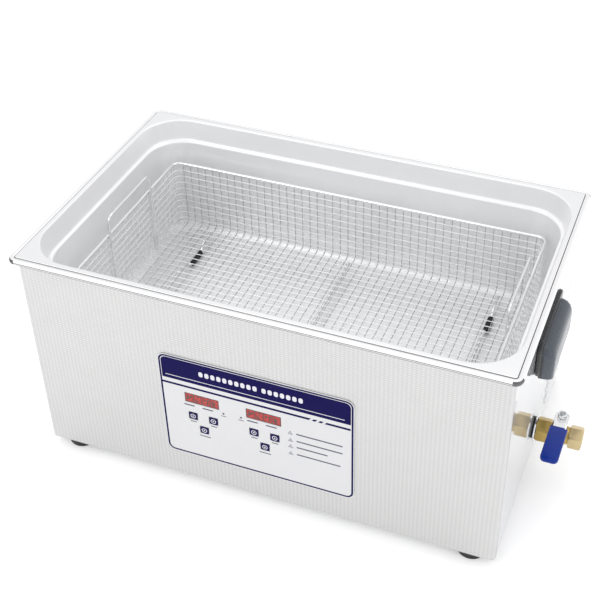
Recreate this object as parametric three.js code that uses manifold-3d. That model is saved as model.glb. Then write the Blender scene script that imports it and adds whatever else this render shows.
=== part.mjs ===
// Bench ultrasonic cleaner with a 22 litre bath, in millimetres, +Z up.
// The body stands on four feet; +X is the drain side, -Y is the control side.
import * as THREE from 'three';
import { mergeVertices } from 'three/addons/utils/BufferGeometryUtils.js';
import Module from 'manifold-3d';

const wasm = await Module();
wasm.setup();

// ---- Driving dimensions -------------------------------------------------

// Fits
const GAP = 0.3; // between pieces that touch
const SLIDE_GAP = 0.35; // each side of a piece that slides or turns

// Tank pressing
const MOUTH_WIDTH = 506; // inside, at the flange
const MOUTH_DEPTH = 299;
const MOUTH_CORNER = 47; // plan radius at the flange
const BAND_HEIGHT = 24.5; // tapered band between flange and shoulder
const BAND_TAPER = 4.5; // how far the band leans in on each side
const SHOULDER = 3.5; // ledge between the band and the well
const BATH_DEPTH = 150; // flange to floor
const FLOOR_ROUND = 18; // radius between well wall and floor
const TANK_WALL = 1.5;
const RIM_OVERHANG = 7.3; // rolled edge beyond the panels
const RIM_HEIGHT = 6.8;
const RIM_CORNER = 9;
const LAND_SIDE = 4.5; // mouth edge to the side panel's outer face
const LAND_FRONT = 6; // mouth edge to the front panel's outer face

// Body
const BODY_HEIGHT = 252.6; // panels' lower edge to the flange's top
const SHEET = 1.2;
const LIP = 14; // folded edge under the base plate

// Feet
const FOOT_HEIGHT = 12;
const FOOT_RADIUS = 16;
const FOOT_TAPER = 1.5;
const FOOT_CHAMFER = 1.5;
const FOOT_INSET_X = 28;
const FOOT_INSET_Y = 19;

// Control panel
const OVERLAY_WIDTH = 213;
const OVERLAY_HEIGHT = 138;
const OVERLAY_CORNER = 9;
const OVERLAY_THICK = 0.8;
const OVERLAY_RISE = 34.5; // overlay's lower edge above the panels' lower edge
const DISPLAY_WIDTH = 38;
const DISPLAY_HEIGHT = 12.6;
const DISPLAY_DEPTH = 6;
const DISPLAY_RISE = 15.5; // display centre above the overlay's centre
const LEFT_GROUP_X = -60.2; // temperature group, from the overlay's centre
const RIGHT_GROUP_X = 8.8; // timer group
const KEY_SIZE = 9.8;
const KEY_THICK = 0.8;
const KEY_TRAVEL = 0.6;
const KEY_PROUD = 0.5; // key face beyond the overlay
const KEY_STEM = 4;
const KEY_SPREAD = 11.6; // upper keys either side of their display's centre
const KEY_ROW_DROP = 9.5; // upper keys below the overlay's centre
const KEY_FOOT_DROP = 26.7; // lower key below the overlay's centre
const BOARD_THICK = 1.6;
const CONTROL_BOARD_WIDTH = 132;
const CONTROL_BOARD_HEIGHT = 66;

// Base plate vents
const BASE_SLOT_COUNT = 5;
const BASE_SLOT_PITCH = 62;
const BASE_SLOT_LENGTH = 42;
const BASE_SLOT_WIDTH = 5;
const BASE_SLOT_SPREAD = 16; // rows either side of the middle

// Side handles
const GRIP_WIDTH = 104;
const GRIP_HEIGHT = 46;
const GRIP_PLATE = 5;
const GRIP_CORNER = 12;
const GRIP_POCKET = 3.5; // finger pocket sunk into the plate
const GRIP_RISE = 159; // handle's lower edge above the panels' lower edge
const HOOD_REACH = 13; // hood beyond the plate
const HOOD_HALF_WIDTH = 47;
const HOOD_HEIGHT = 40;
const HOOD_WALL = 3;
const PEG_RADIUS = 3;
const PEG_LENGTH = 6;
const PEG_SPREAD = 42;

// Side louvres
const LOUVRE_COUNT = 4;
const LOUVRE_PITCH = 16;
const LOUVRE_LENGTH = 66;
const LOUVRE_WIDTH = 3.5;
const LOUVRE_START = 62; // near end of each slot from the body's middle
const LOUVRE_RISE = 26; // lowest slot above the panels' lower edge

// Basket
const BASKET_END_CLEARANCE = 16; // well wall to rim wire, at each end
const BASKET_BACK_CLEARANCE = 10.5;
const BASKET_FRONT_CLEARANCE = 34.5;
const BASKET_DROP = 47.6; // flange to the top of the rim wire
const BASKET_CORNER = 10;
const RIM_WIRE = 2; // radius
const MESH_THICK = 1.4;
const RUNNER_WIRE = 2; // radius
const RUNNER_SPREAD = 182;
const RUNNER_END = 8; // runner's end short of the mesh wall
const SLEEVE_WALL = 1.2;
const SLEEVE_LENGTH = 24;
const FOOT_BEND_SPREAD = 66; // bends either side of the basket's middle
const HANDLE_WIRE = 1.5; // radius
const HANDLE_WIDTH = 94; // between leg centres
const HANDLE_RISE = 25; // bar centre above the rim wire's centre
const HANDLE_BEND = 8;

// Drain and valve, all on one axis along X
const VALVE_RISE = 45; // axis above the panels' lower edge
const PIPE_RADIUS = 9;
const PIPE_BORE = 6.5;
const DRAIN_OFFSET = 42; // drain hole centre from the well's end wall
const ELBOW_FLANGE_RADIUS = 15;
const ELBOW_FLANGE_THICK = 3;
const GASKET_RADIUS = 12.3;
const GASKET_THICK = 1.5;
const WASHER_RADIUS = 15.5;
const WASHER_THICK = 1.8;
const PIPE_ENGAGE = 10; // pipe inside the valve body
const VALVE_HEX = 24; // across flats
const VALVE_HEX_LENGTH = 15;
const CHAMBER_RADIUS = 10.5;
const CHAMBER_LENGTH = 20;
const END_HEX = 23;
const END_HEX_LENGTH = 14;
const END_BORE = 8.5; // threaded mouth
const END_WALL = 2.5; // before the mouth begins
const SPIGOT_LENGTH = 3; // valve end inside the body
const BALL_RADIUS = 7.6;
const BALL_BORE = 4.5;
const BALL_FLAT = 2; // taken off the ball's top under the stem
const STEM_RADIUS = 3;
const STEM_RISE = 31; // top of stem above the axis
const GLAND_RADIUS = 6.5;
const GLAND_RISE = 23.7; // top of gland boss above the axis
const LEVER_WIDTH = 15.2;
const LEVER_PLATE = 1.6;
const LEVER_RIM = 3.5; // rims above the plate, beside the stem
const LEVER_TAIL = 6; // behind the stem
const LEVER_FLAT = 15; // level stretch in front of the stem
const LEVER_LENGTH = 72; // stem to the end
const LEVER_CLIMB = 5; // end above the level stretch
const SLEEVE_START = 18; // blue sleeve from the stem
const GRIP_SLEEVE_WALL = 1.6;
const SLEEVE_ROUND = 1; // edge of the blue sleeve
const NUT_FLATS = 9;
const NUT_HEIGHT = 4.5;

// Parts under and behind the bath
const TRANSDUCER_PITCH = 100;
const TRANSDUCER_ROW = 62;
const TRANSDUCER_PER_ROW = 4;
const TRANSDUCER_FACE = 24; // radius of the face bonded to the bath
const TRANSDUCER_WAIST = 17.5;
const TRANSDUCER_LENGTH = 52; // without the bolt's head
const BACK_MASS = 16;
const RING_STACK = 10;
const RING_RADIUS = 19;
const FACE_EDGE = 6;
const BOLT_RADIUS = 7;
const BOLT_HEAD = 5;
const HEATER_LENGTH = 360;
const HEATER_HEIGHT = 46;
const HEATER_THICK = 1.8;
const SENSOR_RADIUS = 4;
const SENSOR_LENGTH = 12;
const SENSOR_OFFSET = 48; // from the drain
const DRIVER_LENGTH = 150;
const DRIVER_DEPTH = 44;
const DRIVER_HEIGHT = 48;
const DRIVER_INSET = 20; // from the left panel's outer face
const DRIVER_EDGE = 5;
const SINK_FINS = 5;
const SINK_PITCH = 6;
const SINK_FIN = 2;
const SINK_BASE = 5;
const TRANSFORMER_START = 18;
const TRANSFORMER_LENGTH = 40;
const TRANSFORMER_DROP = 12; // below the heat sink's top
const POST_HEIGHT = 6;
const POST_RADIUS = 3;
const FAN_SIZE = 80;
const FAN_DEPTH = 25;
const FAN_X = 96;
const FAN_CLEAR = 3; // above the base plate
const FAN_BLADES = 7;
const FAN_HUB = 16; // radius
const FAN_CORNER = 4;
const FAN_ARM = 4; // width and depth of the motor's arms
const FAN_MOTOR = 5; // depth of the motor
const FAN_END_GAP = 2.5; // rotor to the grille
const FAN_CHORD = 0.85; // blade width as a share of the rotor's depth
const FAN_PITCH = 40; // blade angle
const BLADE_THICK = 1.6;
const FAN_TIP_GAP = 1.5;
const FAN_WALL = 2;
const GRILLE_SLOTS = 7;
const GRILLE_PITCH = 9.5;
const GRILLE_SLOT = 4;
const INLET_WIDTH = 30;
const INLET_HEIGHT = 24;
const INLET_FACE = 3;
const INLET_DEPTH = 26;
const INLET_X = -190;
const INLET_WALL = 3;
const INLET_CORNER = 3;
const INLET_EAR = 9; // flange past the body at each end
const INLET_FUSE_ROOM = 8; // behind the socket
const INLET_PINS = [[-7, -2.5], [0, 2.5], [7, -2.5]];
const PIN_THICK = 2;
const PIN_HEIGHT = 4;
const PIN_BELOW = 3; // pin tips below the panel's face
const SWITCH_WIDTH = 21;
const SWITCH_HEIGHT = 30;
const SWITCH_DEPTH = 20;
const SWITCH_X = -140;
const BEZEL_WALL = 2.4;
const BEZEL_FACE = 2.2;
const ROCKER_TILT = 10; // degrees either side of level
const ROCKER_END_GAP = 1.2;
const ROCKER_BODY = 6; // below the pivot
const ROCKER_CROWN = 4; // ends above the pivot
const ROCKER_DISH = 2.5; // middle above the pivot
const ROCKER_WAIST = 0.8; // inner width as a share of the face
const REAR_FITTINGS_RISE = 50;

// ---- Places worked out from them ---------------------------------------

const BODY_WIDTH = MOUTH_WIDTH + 2 * LAND_SIDE;
const BODY_DEPTH = MOUTH_DEPTH + 2 * LAND_FRONT;
const HALF_W = BODY_WIDTH / 2;
const HALF_D = BODY_DEPTH / 2;
const BODY_BOTTOM = FOOT_HEIGHT;
const FLANGE_TOP = BODY_BOTTOM + BODY_HEIGHT;
const PANEL_TOP = FLANGE_TOP - TANK_WALL - GAP;
const WELL_WIDTH = MOUTH_WIDTH - 2 * (BAND_TAPER + SHOULDER);
const WELL_DEPTH = MOUTH_DEPTH - 2 * (BAND_TAPER + SHOULDER);
const WELL_CORNER = MOUTH_CORNER - BAND_TAPER;
const SHOULDER_Z = FLANGE_TOP - BAND_HEIGHT;
const FLOOR_Z = FLANGE_TOP - BATH_DEPTH;
const UNDER_FLOOR = FLOOR_Z - TANK_WALL;
const BASE_Z = BODY_BOTTOM + SHEET + GAP; // underside of the base plate
const BASE_TOP = BASE_Z + SHEET;
const FRONT_FACE = -HALF_D;
const REAR_FACE = HALF_D;
const SIDE_FACE = HALF_W;
const OVERLAY_Z = BODY_BOTTOM + OVERLAY_RISE + OVERLAY_HEIGHT / 2;
const OVERLAY_BACK = FRONT_FACE - GAP;
const OVERLAY_FACE = OVERLAY_BACK - OVERLAY_THICK;
const BOARD_FACE = FRONT_FACE + SHEET + DISPLAY_DEPTH;
const VALVE_Z = BODY_BOTTOM + VALVE_RISE;
const REAR_FITTINGS_Z = BODY_BOTTOM + REAR_FITTINGS_RISE;

const GRIP_LOW = BODY_BOTTOM + GRIP_RISE;
const GRIP_Z = GRIP_LOW + GRIP_HEIGHT / 2;
const FAN_Z = BASE_TOP + FAN_CLEAR + FAN_SIZE / 2;
const FAN_BACK = REAR_FACE - SHEET - GAP;

const BASKET_HALF_X = WELL_WIDTH / 2 - BASKET_END_CLEARANCE - RIM_WIRE;
const BASKET_BACK = WELL_DEPTH / 2 - BASKET_BACK_CLEARANCE - RIM_WIRE;
const BASKET_FRONT = -(WELL_DEPTH / 2 - BASKET_FRONT_CLEARANCE - RIM_WIRE);
const BASKET_Y = (BASKET_BACK + BASKET_FRONT) / 2;
const BASKET_HALF_Y = (BASKET_BACK - BASKET_FRONT) / 2;
const RIM_WIRE_Z = FLANGE_TOP - BASKET_DROP - RIM_WIRE;
const SLEEVE_RADIUS = RUNNER_WIRE + SLIDE_GAP + SLEEVE_WALL;
const FOOT_BEND_Z = FLOOR_Z + GAP + SLEEVE_RADIUS;
const RUNNER_Z = FOOT_BEND_Z + 9;
const BASKET_FLOOR_Z = RUNNER_Z + RUNNER_WIRE + GAP;

const GASKET_X = SIDE_FACE + GAP;
const WASHER_X = GASKET_X + GASKET_THICK + GAP;
const VALVE_X = WASHER_X + WASHER_THICK + GAP;
const CHAMBER_X = VALVE_X + VALVE_HEX_LENGTH;
const STEM_X = CHAMBER_X + CHAMBER_LENGTH / 2;
const VALVE_BODY_END = CHAMBER_X + CHAMBER_LENGTH;
const END_X = VALVE_BODY_END + GAP;
const VALVE_TIP = END_X + END_HEX_LENGTH;
const DRAIN_X = WELL_WIDTH / 2 - DRAIN_OFFSET;
const LEVER_Z = VALVE_Z + GLAND_RISE + GAP;

// ---- Solids ---------------------------------------------------------------

/** A closed geometry as a manifold solid. */
function solid(geometry) {
  const bare = geometry.clone();
  bare.deleteAttribute('normal');
  bare.deleteAttribute('uv');
  const merged = mergeVertices(bare, 1e-4);
  const index = merged.index.array;
  const kept = [];
  for (let i = 0; i < index.length; i += 3) {
    const [a, b, c] = index.slice(i, i + 3);
    if (a !== b && b !== c && c !== a) kept.push(a, b, c);
  }
  const triVerts = new Uint32Array(kept);
  const vertProperties = new Float32Array(merged.attributes.position.array);
  return new wasm.Manifold(new wasm.Mesh({ numProp: 3, vertProperties, triVerts }));
}

/** A manifold solid as a three.js geometry. */
function geometryOf(body) {
  const mesh = body.getMesh();
  const geometry = new THREE.BufferGeometry();
  geometry.setAttribute('position', new THREE.BufferAttribute(mesh.vertProperties, 3));
  geometry.setIndex(new THREE.BufferAttribute(mesh.triVerts, 1));
  geometry.computeVertexNormals();
  return geometry;
}

/** A block between two corners. */
function block(low, high) {
  const size = high.map((value, i) => value - low[i]);
  const geometry = new THREE.BoxGeometry(...size);
  geometry.translate(...low.map((value, i) => value + size[i] / 2));
  return solid(geometry);
}

/** A rounded rectangle, centred on (x, y). */
function roundedRect(width, height, radius, x = 0, y = 0, Outline = THREE.Shape) {
  const w = width / 2 - radius;
  const h = height / 2 - radius;
  const outline = new Outline();
  outline.absarc(x + w, y - h, radius, -Math.PI / 2, 0);
  outline.absarc(x + w, y + h, radius, 0, Math.PI / 2);
  outline.absarc(x - w, y + h, radius, Math.PI / 2, Math.PI);
  outline.absarc(x - w, y - h, radius, Math.PI, 1.5 * Math.PI);
  return outline;
}

/** A polygon through the given points. */
function polygon(points) {
  return new THREE.Shape(points.map(([x, y]) => new THREE.Vector2(x, y)));
}

/** A regular hexagon of the given width across flats, one corner up. */
function hexagon(flats) {
  const radius = flats / Math.sqrt(3);
  const corners = Array.from({ length: 6 }, (_, i) => {
    const angle = (i * Math.PI) / 3 + Math.PI / 6;
    return [radius * Math.cos(angle), radius * Math.sin(angle)];
  });
  return polygon(corners);
}

/** A shape pushed up along Z from z; its ends can be rounded, or tapered when they have one step. */
function prism(shape, z, depth, { ends = 0, spread = ends, steps = 1, curve = 3 } = {}) {
  const geometry = new THREE.ExtrudeGeometry(shape, {
    depth,
    curveSegments: curve,
    bevelEnabled: ends > 0,
    bevelThickness: ends,
    bevelSize: spread,
    bevelOffset: 0,
    bevelSegments: steps,
  });
  geometry.translate(0, 0, z);
  return geometry;
}

const TO_FRONT = new THREE.Matrix4().makeRotationX(Math.PI / 2); // shape y to z, depth to -y
const TO_SIDE = new THREE.Matrix4().makeBasis(
  new THREE.Vector3(0, 1, 0),
  new THREE.Vector3(0, 0, 1),
  new THREE.Vector3(1, 0, 0),
); // shape x to y, shape y to z, depth to +x

/** A shape drawn in X and Z, between two Y planes. */
function frontPrism(shape, yFront, yBack, options) {
  return solid(prism(shape, -yBack, yBack - yFront, options).applyMatrix4(TO_FRONT));
}

/** A shape drawn in Y and Z, between two X planes. */
function sidePrism(shape, xLow, xHigh, options) {
  return solid(prism(shape, xLow, xHigh - xLow, options).applyMatrix4(TO_SIDE));
}

/** A turned piece on the Z axis from [radius, z] points. */
function turned(points, segments = 24) {
  const profile = points.map(([r, z]) => new THREE.Vector2(r, z));
  const geometry = new THREE.LatheGeometry(profile, segments);
  return solid(geometry.rotateX(Math.PI / 2));
}

/** A disc, or a ring when it has a bore, on the Z axis. */
function disc(radius, zLow, zHigh, bore = 0, segments = 24) {
  const outer = [[radius, zLow], [radius, zHigh]];
  const inner = bore > 0 ? [[bore, zHigh], [bore, zLow]] : [[0, zHigh]];
  const first = bore > 0 ? [bore, zLow] : [0, zLow];
  return turned([first, ...outer, ...inner], segments);
}

/** Turns a piece made on the Z axis to lie along X, then moves it. */
function alongX(body, x, y, z) {
  return body.rotate([0, 90, 0]).translate([x, y, z]);
}

/** Turns a piece made on the Z axis to lie along Y, then moves it. */
function alongY(body, x, y, z) {
  return body.rotate([-90, 0, 0]).translate([x, y, z]);
}

/** Joins several solids. */
function join(...bodies) {
  return bodies.reduce((sum, body) => sum.add(body));
}

/** A curve that passes straight from point to point, one step for each run. */
class Polyline extends THREE.Curve {
  constructor(points) {
    super();
    this.points = points;
  }

  getPoint(t) {
    const steps = this.points.length - 1;
    const run = Math.min(Math.floor(t * steps + 1e-9), steps - 1);
    return this.points[run].clone().lerp(this.points[run + 1], t * steps - run);
  }

  getPointAt(t) {
    return this.getPoint(t);
  }

  getTangentAt(t) {
    const steps = this.points.length - 1;
    const here = Math.round(t * steps);
    const before = this.points[Math.max(here - 1, 0)];
    const after = this.points[Math.min(here + 1, steps)];
    return after.clone().sub(before).normalize();
  }
}

/** A round wire through the given corners, bent to one radius at each. */
function wire(corners, radius, bend) {
  const marks = corners.map((corner) => new THREE.Vector3(...corner));
  const path = [marks[0]];
  for (let i = 1; i < marks.length - 1; i += 1) {
    const into = marks[i - 1].clone().sub(marks[i]).setLength(bend).add(marks[i]);
    const out = marks[i + 1].clone().sub(marks[i]).setLength(bend).add(marks[i]);
    path.push(...new THREE.QuadraticBezierCurve3(into, marks[i], out).getPoints(3));
  }
  path.push(marks[marks.length - 1]);
  const section = new THREE.Shape();
  section.absarc(0, 0, radius, 0, 2 * Math.PI);
  const geometry = new THREE.ExtrudeGeometry(section, {
    steps: path.length - 1,
    curveSegments: 4,
    extrudePath: new Polyline(path),
  });
  return solid(geometry);
}

/** A named mesh in its own finish. */
function piece(name, body, { colour, roughness = 0.5, metalness = 0 }) {
  const material = new THREE.MeshStandardMaterial({ color: colour, roughness, metalness });
  const mesh = new THREE.Mesh(geometryOf(body), material);
  mesh.name = name;
  return mesh;
}

const SATIN_STEEL = { colour: 0xd4d5d6, roughness: 0.35, metalness: 1 };
const EMBOSSED_STEEL = { colour: 0xdcdcd9, roughness: 0.45, metalness: 1 };
const POLISHED_STEEL = { colour: 0xe2e2e2, roughness: 0.08, metalness: 1 };
const ZINC_STEEL = { colour: 0xa9adb0, roughness: 0.4, metalness: 1 };
const BRASS = { colour: 0xc2a050, roughness: 0.3, metalness: 1 };
const ALUMINIUM = { colour: 0xb8bbbe, roughness: 0.4, metalness: 1 };
const BLACK_RUBBER = { colour: 0x151515, roughness: 0.8 };
const BLACK_PLASTIC = { colour: 0x1b1d1e, roughness: 0.3 };
const BLUE_VINYL = { colour: 0x1c37a8, roughness: 0.35 };
const LABEL_FILM = { colour: 0xeeeeee, roughness: 0.35 };
const NAVY_KEY = { colour: 0x191052, roughness: 0.4 };
const DISPLAY_GLASS = { colour: 0x30302c, roughness: 0.1 };
const CIRCUIT_BOARD = { colour: 0x1d5b34, roughness: 0.5 };
const HEATER_RUBBER = { colour: 0xb4502c, roughness: 0.7 };

// ---- Tank -------------------------------------------------------------------

/** A rounded-rectangle well with a radiused floor, open above. */
function wellForm(grow, top) {
  const round = FLOOR_ROUND + grow;
  const width = WELL_WIDTH + 2 * grow - 2 * round;
  const depth = WELL_DEPTH + 2 * grow - 2 * round;
  const floor = roundedRect(width, depth, WELL_CORNER + grow - round);
  const options = { ends: round, steps: 3, curve: 3 };
  const body = solid(prism(floor, FLOOR_Z - grow + round, top - FLOOR_Z, options));
  const above = 2 * BATH_DEPTH;
  const far = BODY_WIDTH;
  return body.subtract(block([-far, -far, top], [far, far, top + above]));
}

/** The tapered band between the shoulder and the flange. */
function bandForm(grow, low, top) {
  const width = MOUTH_WIDTH - 2 * BAND_TAPER + 2 * grow;
  const depth = MOUTH_DEPTH - 2 * BAND_TAPER + 2 * grow;
  const outline = roundedRect(width, depth, MOUTH_CORNER - BAND_TAPER + grow);
  const straight = top - low;
  const options = { ends: BAND_HEIGHT, spread: BAND_TAPER };
  const body = solid(prism(outline, low + BAND_HEIGHT, straight, options));
  const far = BODY_WIDTH;
  return body.subtract(block([-far, -far, top], [far, far, top + 2 * BATH_DEPTH]));
}

/** The flange with its rolled edge, hollow below so that the panels fit under it. */
function flangeForm() {
  const nose = RIM_HEIGHT / 2;
  const width = BODY_WIDTH + 2 * RIM_OVERHANG - 2 * nose;
  const depth = BODY_DEPTH + 2 * RIM_OVERHANG - 2 * nose;
  const outline = roundedRect(width, depth, RIM_CORNER - nose);
  const slab = solid(prism(outline, FLANGE_TOP - nose, 1e-3, { ends: nose, steps: 2, curve: 2 }));
  const pocket = block(
    [-SIDE_FACE - SLIDE_GAP, FRONT_FACE - SLIDE_GAP, FLANGE_TOP - 2 * RIM_HEIGHT],
    [SIDE_FACE + SLIDE_GAP, REAR_FACE + SLIDE_GAP, FLANGE_TOP - TANK_WALL],
  );
  return slab.subtract(pocket);
}

function tank() {
  const outside = join(
    flangeForm(),
    bandForm(TANK_WALL, SHOULDER_Z - TANK_WALL, FLANGE_TOP),
    wellForm(TANK_WALL, SHOULDER_Z),
  );
  const above = FLANGE_TOP + 1;
  const drain = disc(PIPE_BORE, UNDER_FLOOR - 1, FLOOR_Z + 1).translate([DRAIN_X, 0, 0]);
  return outside.subtract(bandForm(0, SHOULDER_Z, above)).subtract(wellForm(0, above)).subtract(drain);
}

// ---- Panels, base and feet -----------------------------------------------------

const DISPLAY_Z = OVERLAY_Z + DISPLAY_RISE;
const DISPLAYS = [
  ['temperature_display', LEFT_GROUP_X],
  ['timer_display', RIGHT_GROUP_X],
];
const KEY_GROUPS = [
  ['heat', LEFT_GROUP_X],
  ['timer', RIGHT_GROUP_X],
];
const KEY_PLACES = KEY_GROUPS.flatMap(([group, x]) => [
  [`${group}_lower_key`, x - KEY_SPREAD, OVERLAY_Z - KEY_ROW_DROP],
  [`${group}_raise_key`, x + KEY_SPREAD, OVERLAY_Z - KEY_ROW_DROP],
  [`${group}_switch_key`, x, OVERLAY_Z - KEY_FOOT_DROP],
]);

/** Square cuts for the displays and keys, between two Y planes. */
function panelCuts(yFront, yBack, keySize) {
  const windows = DISPLAYS.map(([, x]) => {
    const w = DISPLAY_WIDTH / 2 + SLIDE_GAP;
    const h = DISPLAY_HEIGHT / 2 + SLIDE_GAP;
    return block([x - w, yFront, DISPLAY_Z - h], [x + w, yBack, DISPLAY_Z + h]);
  });
  const half = keySize / 2 + SLIDE_GAP;
  const holes = KEY_PLACES.map(([, x, z]) => (
    block([x - half, yFront, z - half], [x + half, yBack, z + half])
  ));
  return join(...windows, ...holes);
}

/** The front or rear sheet with its folded lower lip, drawn for the front. */
function longPanel() {
  const face = block([-SIDE_FACE, FRONT_FACE, BODY_BOTTOM], [SIDE_FACE, FRONT_FACE + SHEET, PANEL_TOP]);
  const lipEnd = SIDE_FACE - SHEET - GAP;
  const lip = block([-lipEnd, FRONT_FACE, BODY_BOTTOM], [lipEnd, FRONT_FACE + LIP, BODY_BOTTOM + SHEET]);
  return face.add(lip);
}

function frontPanel() {
  return longPanel().subtract(panelCuts(FRONT_FACE - 1, FRONT_FACE + SHEET + 1, KEY_STEM));
}

/** Upright slots in a round field, in front of the fan. */
function fanGrille(yLow, yHigh) {
  const reach = FAN_SIZE / 2 - FAN_WALL - FAN_TIP_GAP;
  const middle = (GRILLE_SLOTS - 1) / 2;
  const slots = Array.from({ length: GRILLE_SLOTS }, (_, i) => {
    const offset = (i - middle) * GRILLE_PITCH;
    const half = Math.sqrt(reach ** 2 - offset ** 2);
    const x = FAN_X + offset;
    const low = [x - GRILLE_SLOT / 2, yLow, FAN_Z - half];
    return block(low, [x + GRILLE_SLOT / 2, yHigh, FAN_Z + half]);
  });
  return join(...slots);
}

function rearPanel() {
  const sheet = longPanel().rotate([0, 0, 180]);
  const cutOut = (x, width, height) => block(
    [x - width / 2 - SLIDE_GAP, REAR_FACE - SHEET - 1, REAR_FITTINGS_Z - height / 2 - SLIDE_GAP],
    [x + width / 2 + SLIDE_GAP, REAR_FACE + 1, REAR_FITTINGS_Z + height / 2 + SLIDE_GAP],
  );
  const cuts = join(
    fanGrille(REAR_FACE - SHEET - 1, REAR_FACE + 1),
    cutOut(INLET_X, INLET_WIDTH, INLET_HEIGHT),
    cutOut(SWITCH_X, SWITCH_WIDTH, SWITCH_HEIGHT),
  );
  return sheet.subtract(cuts);
}

/** A side sheet between the front and rear ones, drawn for the drain side. */
function sidePanel(withPipeHole) {
  const half = HALF_D - SHEET - GAP;
  const lipHalf = HALF_D - LIP - GAP;
  const inner = SIDE_FACE - SHEET;
  const face = block([inner, -half, BODY_BOTTOM], [SIDE_FACE, half, PANEL_TOP]);
  const lip = block([SIDE_FACE - LIP, -lipHalf, BODY_BOTTOM], [SIDE_FACE, lipHalf, BODY_BOTTOM + SHEET]);
  const louvres = Array.from({ length: LOUVRE_COUNT }, (_, i) => {
    const z = BODY_BOTTOM + LOUVRE_RISE + i * LOUVRE_PITCH;
    const far = LOUVRE_START + LOUVRE_LENGTH;
    return block([inner - 1, LOUVRE_START, z], [SIDE_FACE + 1, far, z + LOUVRE_WIDTH]);
  });
  const pegs = [-PEG_SPREAD, PEG_SPREAD].map((y) => (
    alongX(disc(PEG_RADIUS + SLIDE_GAP, 0, SHEET + 2, 0, 12), inner - 1, y, GRIP_Z)
  ));
  const cuts = [...louvres, ...pegs];
  if (withPipeHole) cuts.push(alongX(disc(PIPE_RADIUS + SLIDE_GAP, 0, SHEET + 2), inner - 1, 0, VALVE_Z));
  return face.add(lip).subtract(join(...cuts));
}

function basePlate() {
  const x = SIDE_FACE - SHEET - GAP;
  const y = HALF_D - SHEET - GAP;
  const plate = block([-x, -y, BASE_Z], [x, y, BASE_TOP]);
  const slots = [];
  for (const middleY of [-BASE_SLOT_SPREAD, BASE_SLOT_SPREAD]) {
    for (let i = 0; i < BASE_SLOT_COUNT; i += 1) {
      const middleX = (i - (BASE_SLOT_COUNT - 1) / 2) * BASE_SLOT_PITCH;
      const low = [middleX - BASE_SLOT_LENGTH / 2, middleY - BASE_SLOT_WIDTH / 2, BASE_Z - 1];
      slots.push(block(low, [middleX + BASE_SLOT_LENGTH / 2, middleY + BASE_SLOT_WIDTH / 2, BASE_TOP + 1]));
    }
  }
  return plate.subtract(join(...slots));
}

/** A round rubber foot under the panels' lips. */
function foot() {
  const top = BODY_BOTTOM - GAP;
  return turned([
    [0, 0],
    [FOOT_RADIUS - FOOT_TAPER - FOOT_CHAMFER, 0],
    [FOOT_RADIUS - FOOT_TAPER, FOOT_CHAMFER],
    [FOOT_RADIUS, top],
    [0, top],
  ]);
}

// ---- Control panel ---------------------------------------------------------------

function controlOverlay() {
  const outline = roundedRect(OVERLAY_WIDTH, OVERLAY_HEIGHT, OVERLAY_CORNER, 0, OVERLAY_Z);
  const sheet = frontPrism(outline, OVERLAY_FACE, OVERLAY_BACK);
  return sheet.subtract(panelCuts(OVERLAY_FACE - 1, OVERLAY_BACK + 1, KEY_SIZE));
}

function display(x) {
  const w = DISPLAY_WIDTH / 2;
  const h = DISPLAY_HEIGHT / 2;
  const front = OVERLAY_FACE + GAP;
  return block([x - w, front, DISPLAY_Z - h], [x + w, BOARD_FACE - GAP, DISPLAY_Z + h]);
}

/** A key cap with its stem back to the switch on the board. */
function key(x, z) {
  const front = OVERLAY_FACE - KEY_PROUD;
  const cap = frontPrism(roundedRect(KEY_SIZE, KEY_SIZE, 2, x, z), front, front + KEY_THICK, { curve: 1 });
  const half = KEY_STEM / 2;
  const back = BOARD_FACE - GAP - KEY_TRAVEL;
  return cap.add(block([x - half, front + KEY_THICK / 2, z - half], [x + half, back, z + half]));
}

function controlBoard() {
  const middleX = (LEFT_GROUP_X + RIGHT_GROUP_X) / 2;
  const low = [middleX - CONTROL_BOARD_WIDTH / 2, BOARD_FACE, OVERLAY_Z - CONTROL_BOARD_HEIGHT / 2];
  const high = low.map((value, i) => value + [CONTROL_BOARD_WIDTH, BOARD_THICK, CONTROL_BOARD_HEIGHT][i]);
  return block(low, high);
}

// ---- Side handles ------------------------------------------------------------------

/** A half ellipsoid on the handle's plate, flat below, drawn for the drain side. */
function hoodForm(shrink) {
  const ball = new THREE.SphereGeometry(1, 20, 10);
  ball.rotateX(Math.PI / 2);
  ball.scale(HOOD_REACH - shrink, HOOD_HALF_WIDTH - shrink, HOOD_HEIGHT - shrink);
  return solid(ball).translate([SIDE_FACE + GAP + GRIP_PLATE, 0, GRIP_LOW]);
}

/** A pull on the drain side: a plate on the panel and a hood that is open below. */
function sideHandle() {
  const back = SIDE_FACE + GAP;
  const face = back + GRIP_PLATE;
  const outline = roundedRect(GRIP_WIDTH, GRIP_HEIGHT, GRIP_CORNER, 0, GRIP_Z);
  const plate = sidePrism(outline, back, face);
  const above = block(
    [back, -GRIP_WIDTH, GRIP_LOW],
    [face + 2 * HOOD_REACH, GRIP_WIDTH, GRIP_LOW + GRIP_WIDTH],
  );
  const hood = hoodForm(0).intersect(above);
  const pocketHalf = HOOD_HALF_WIDTH - 2 * HOOD_WALL;
  const pocketOutline = new THREE.Shape();
  pocketOutline.absellipse(0, GRIP_LOW, pocketHalf, HOOD_HEIGHT - 2 * HOOD_WALL, 0, 2 * Math.PI);
  const pocket = sidePrism(pocketOutline, face - GRIP_POCKET, face + GAP, { curve: 12 });
  const pegs = [-PEG_SPREAD, PEG_SPREAD].map((y) => (
    alongX(disc(PEG_RADIUS, 0, PEG_LENGTH + 1, 0, 12), back - PEG_LENGTH, y, GRIP_Z)
  ));
  return join(plate, hood, ...pegs).subtract(pocket).subtract(hoodForm(HOOD_WALL));
}

// ---- Basket ----------------------------------------------------------------------------

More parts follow.
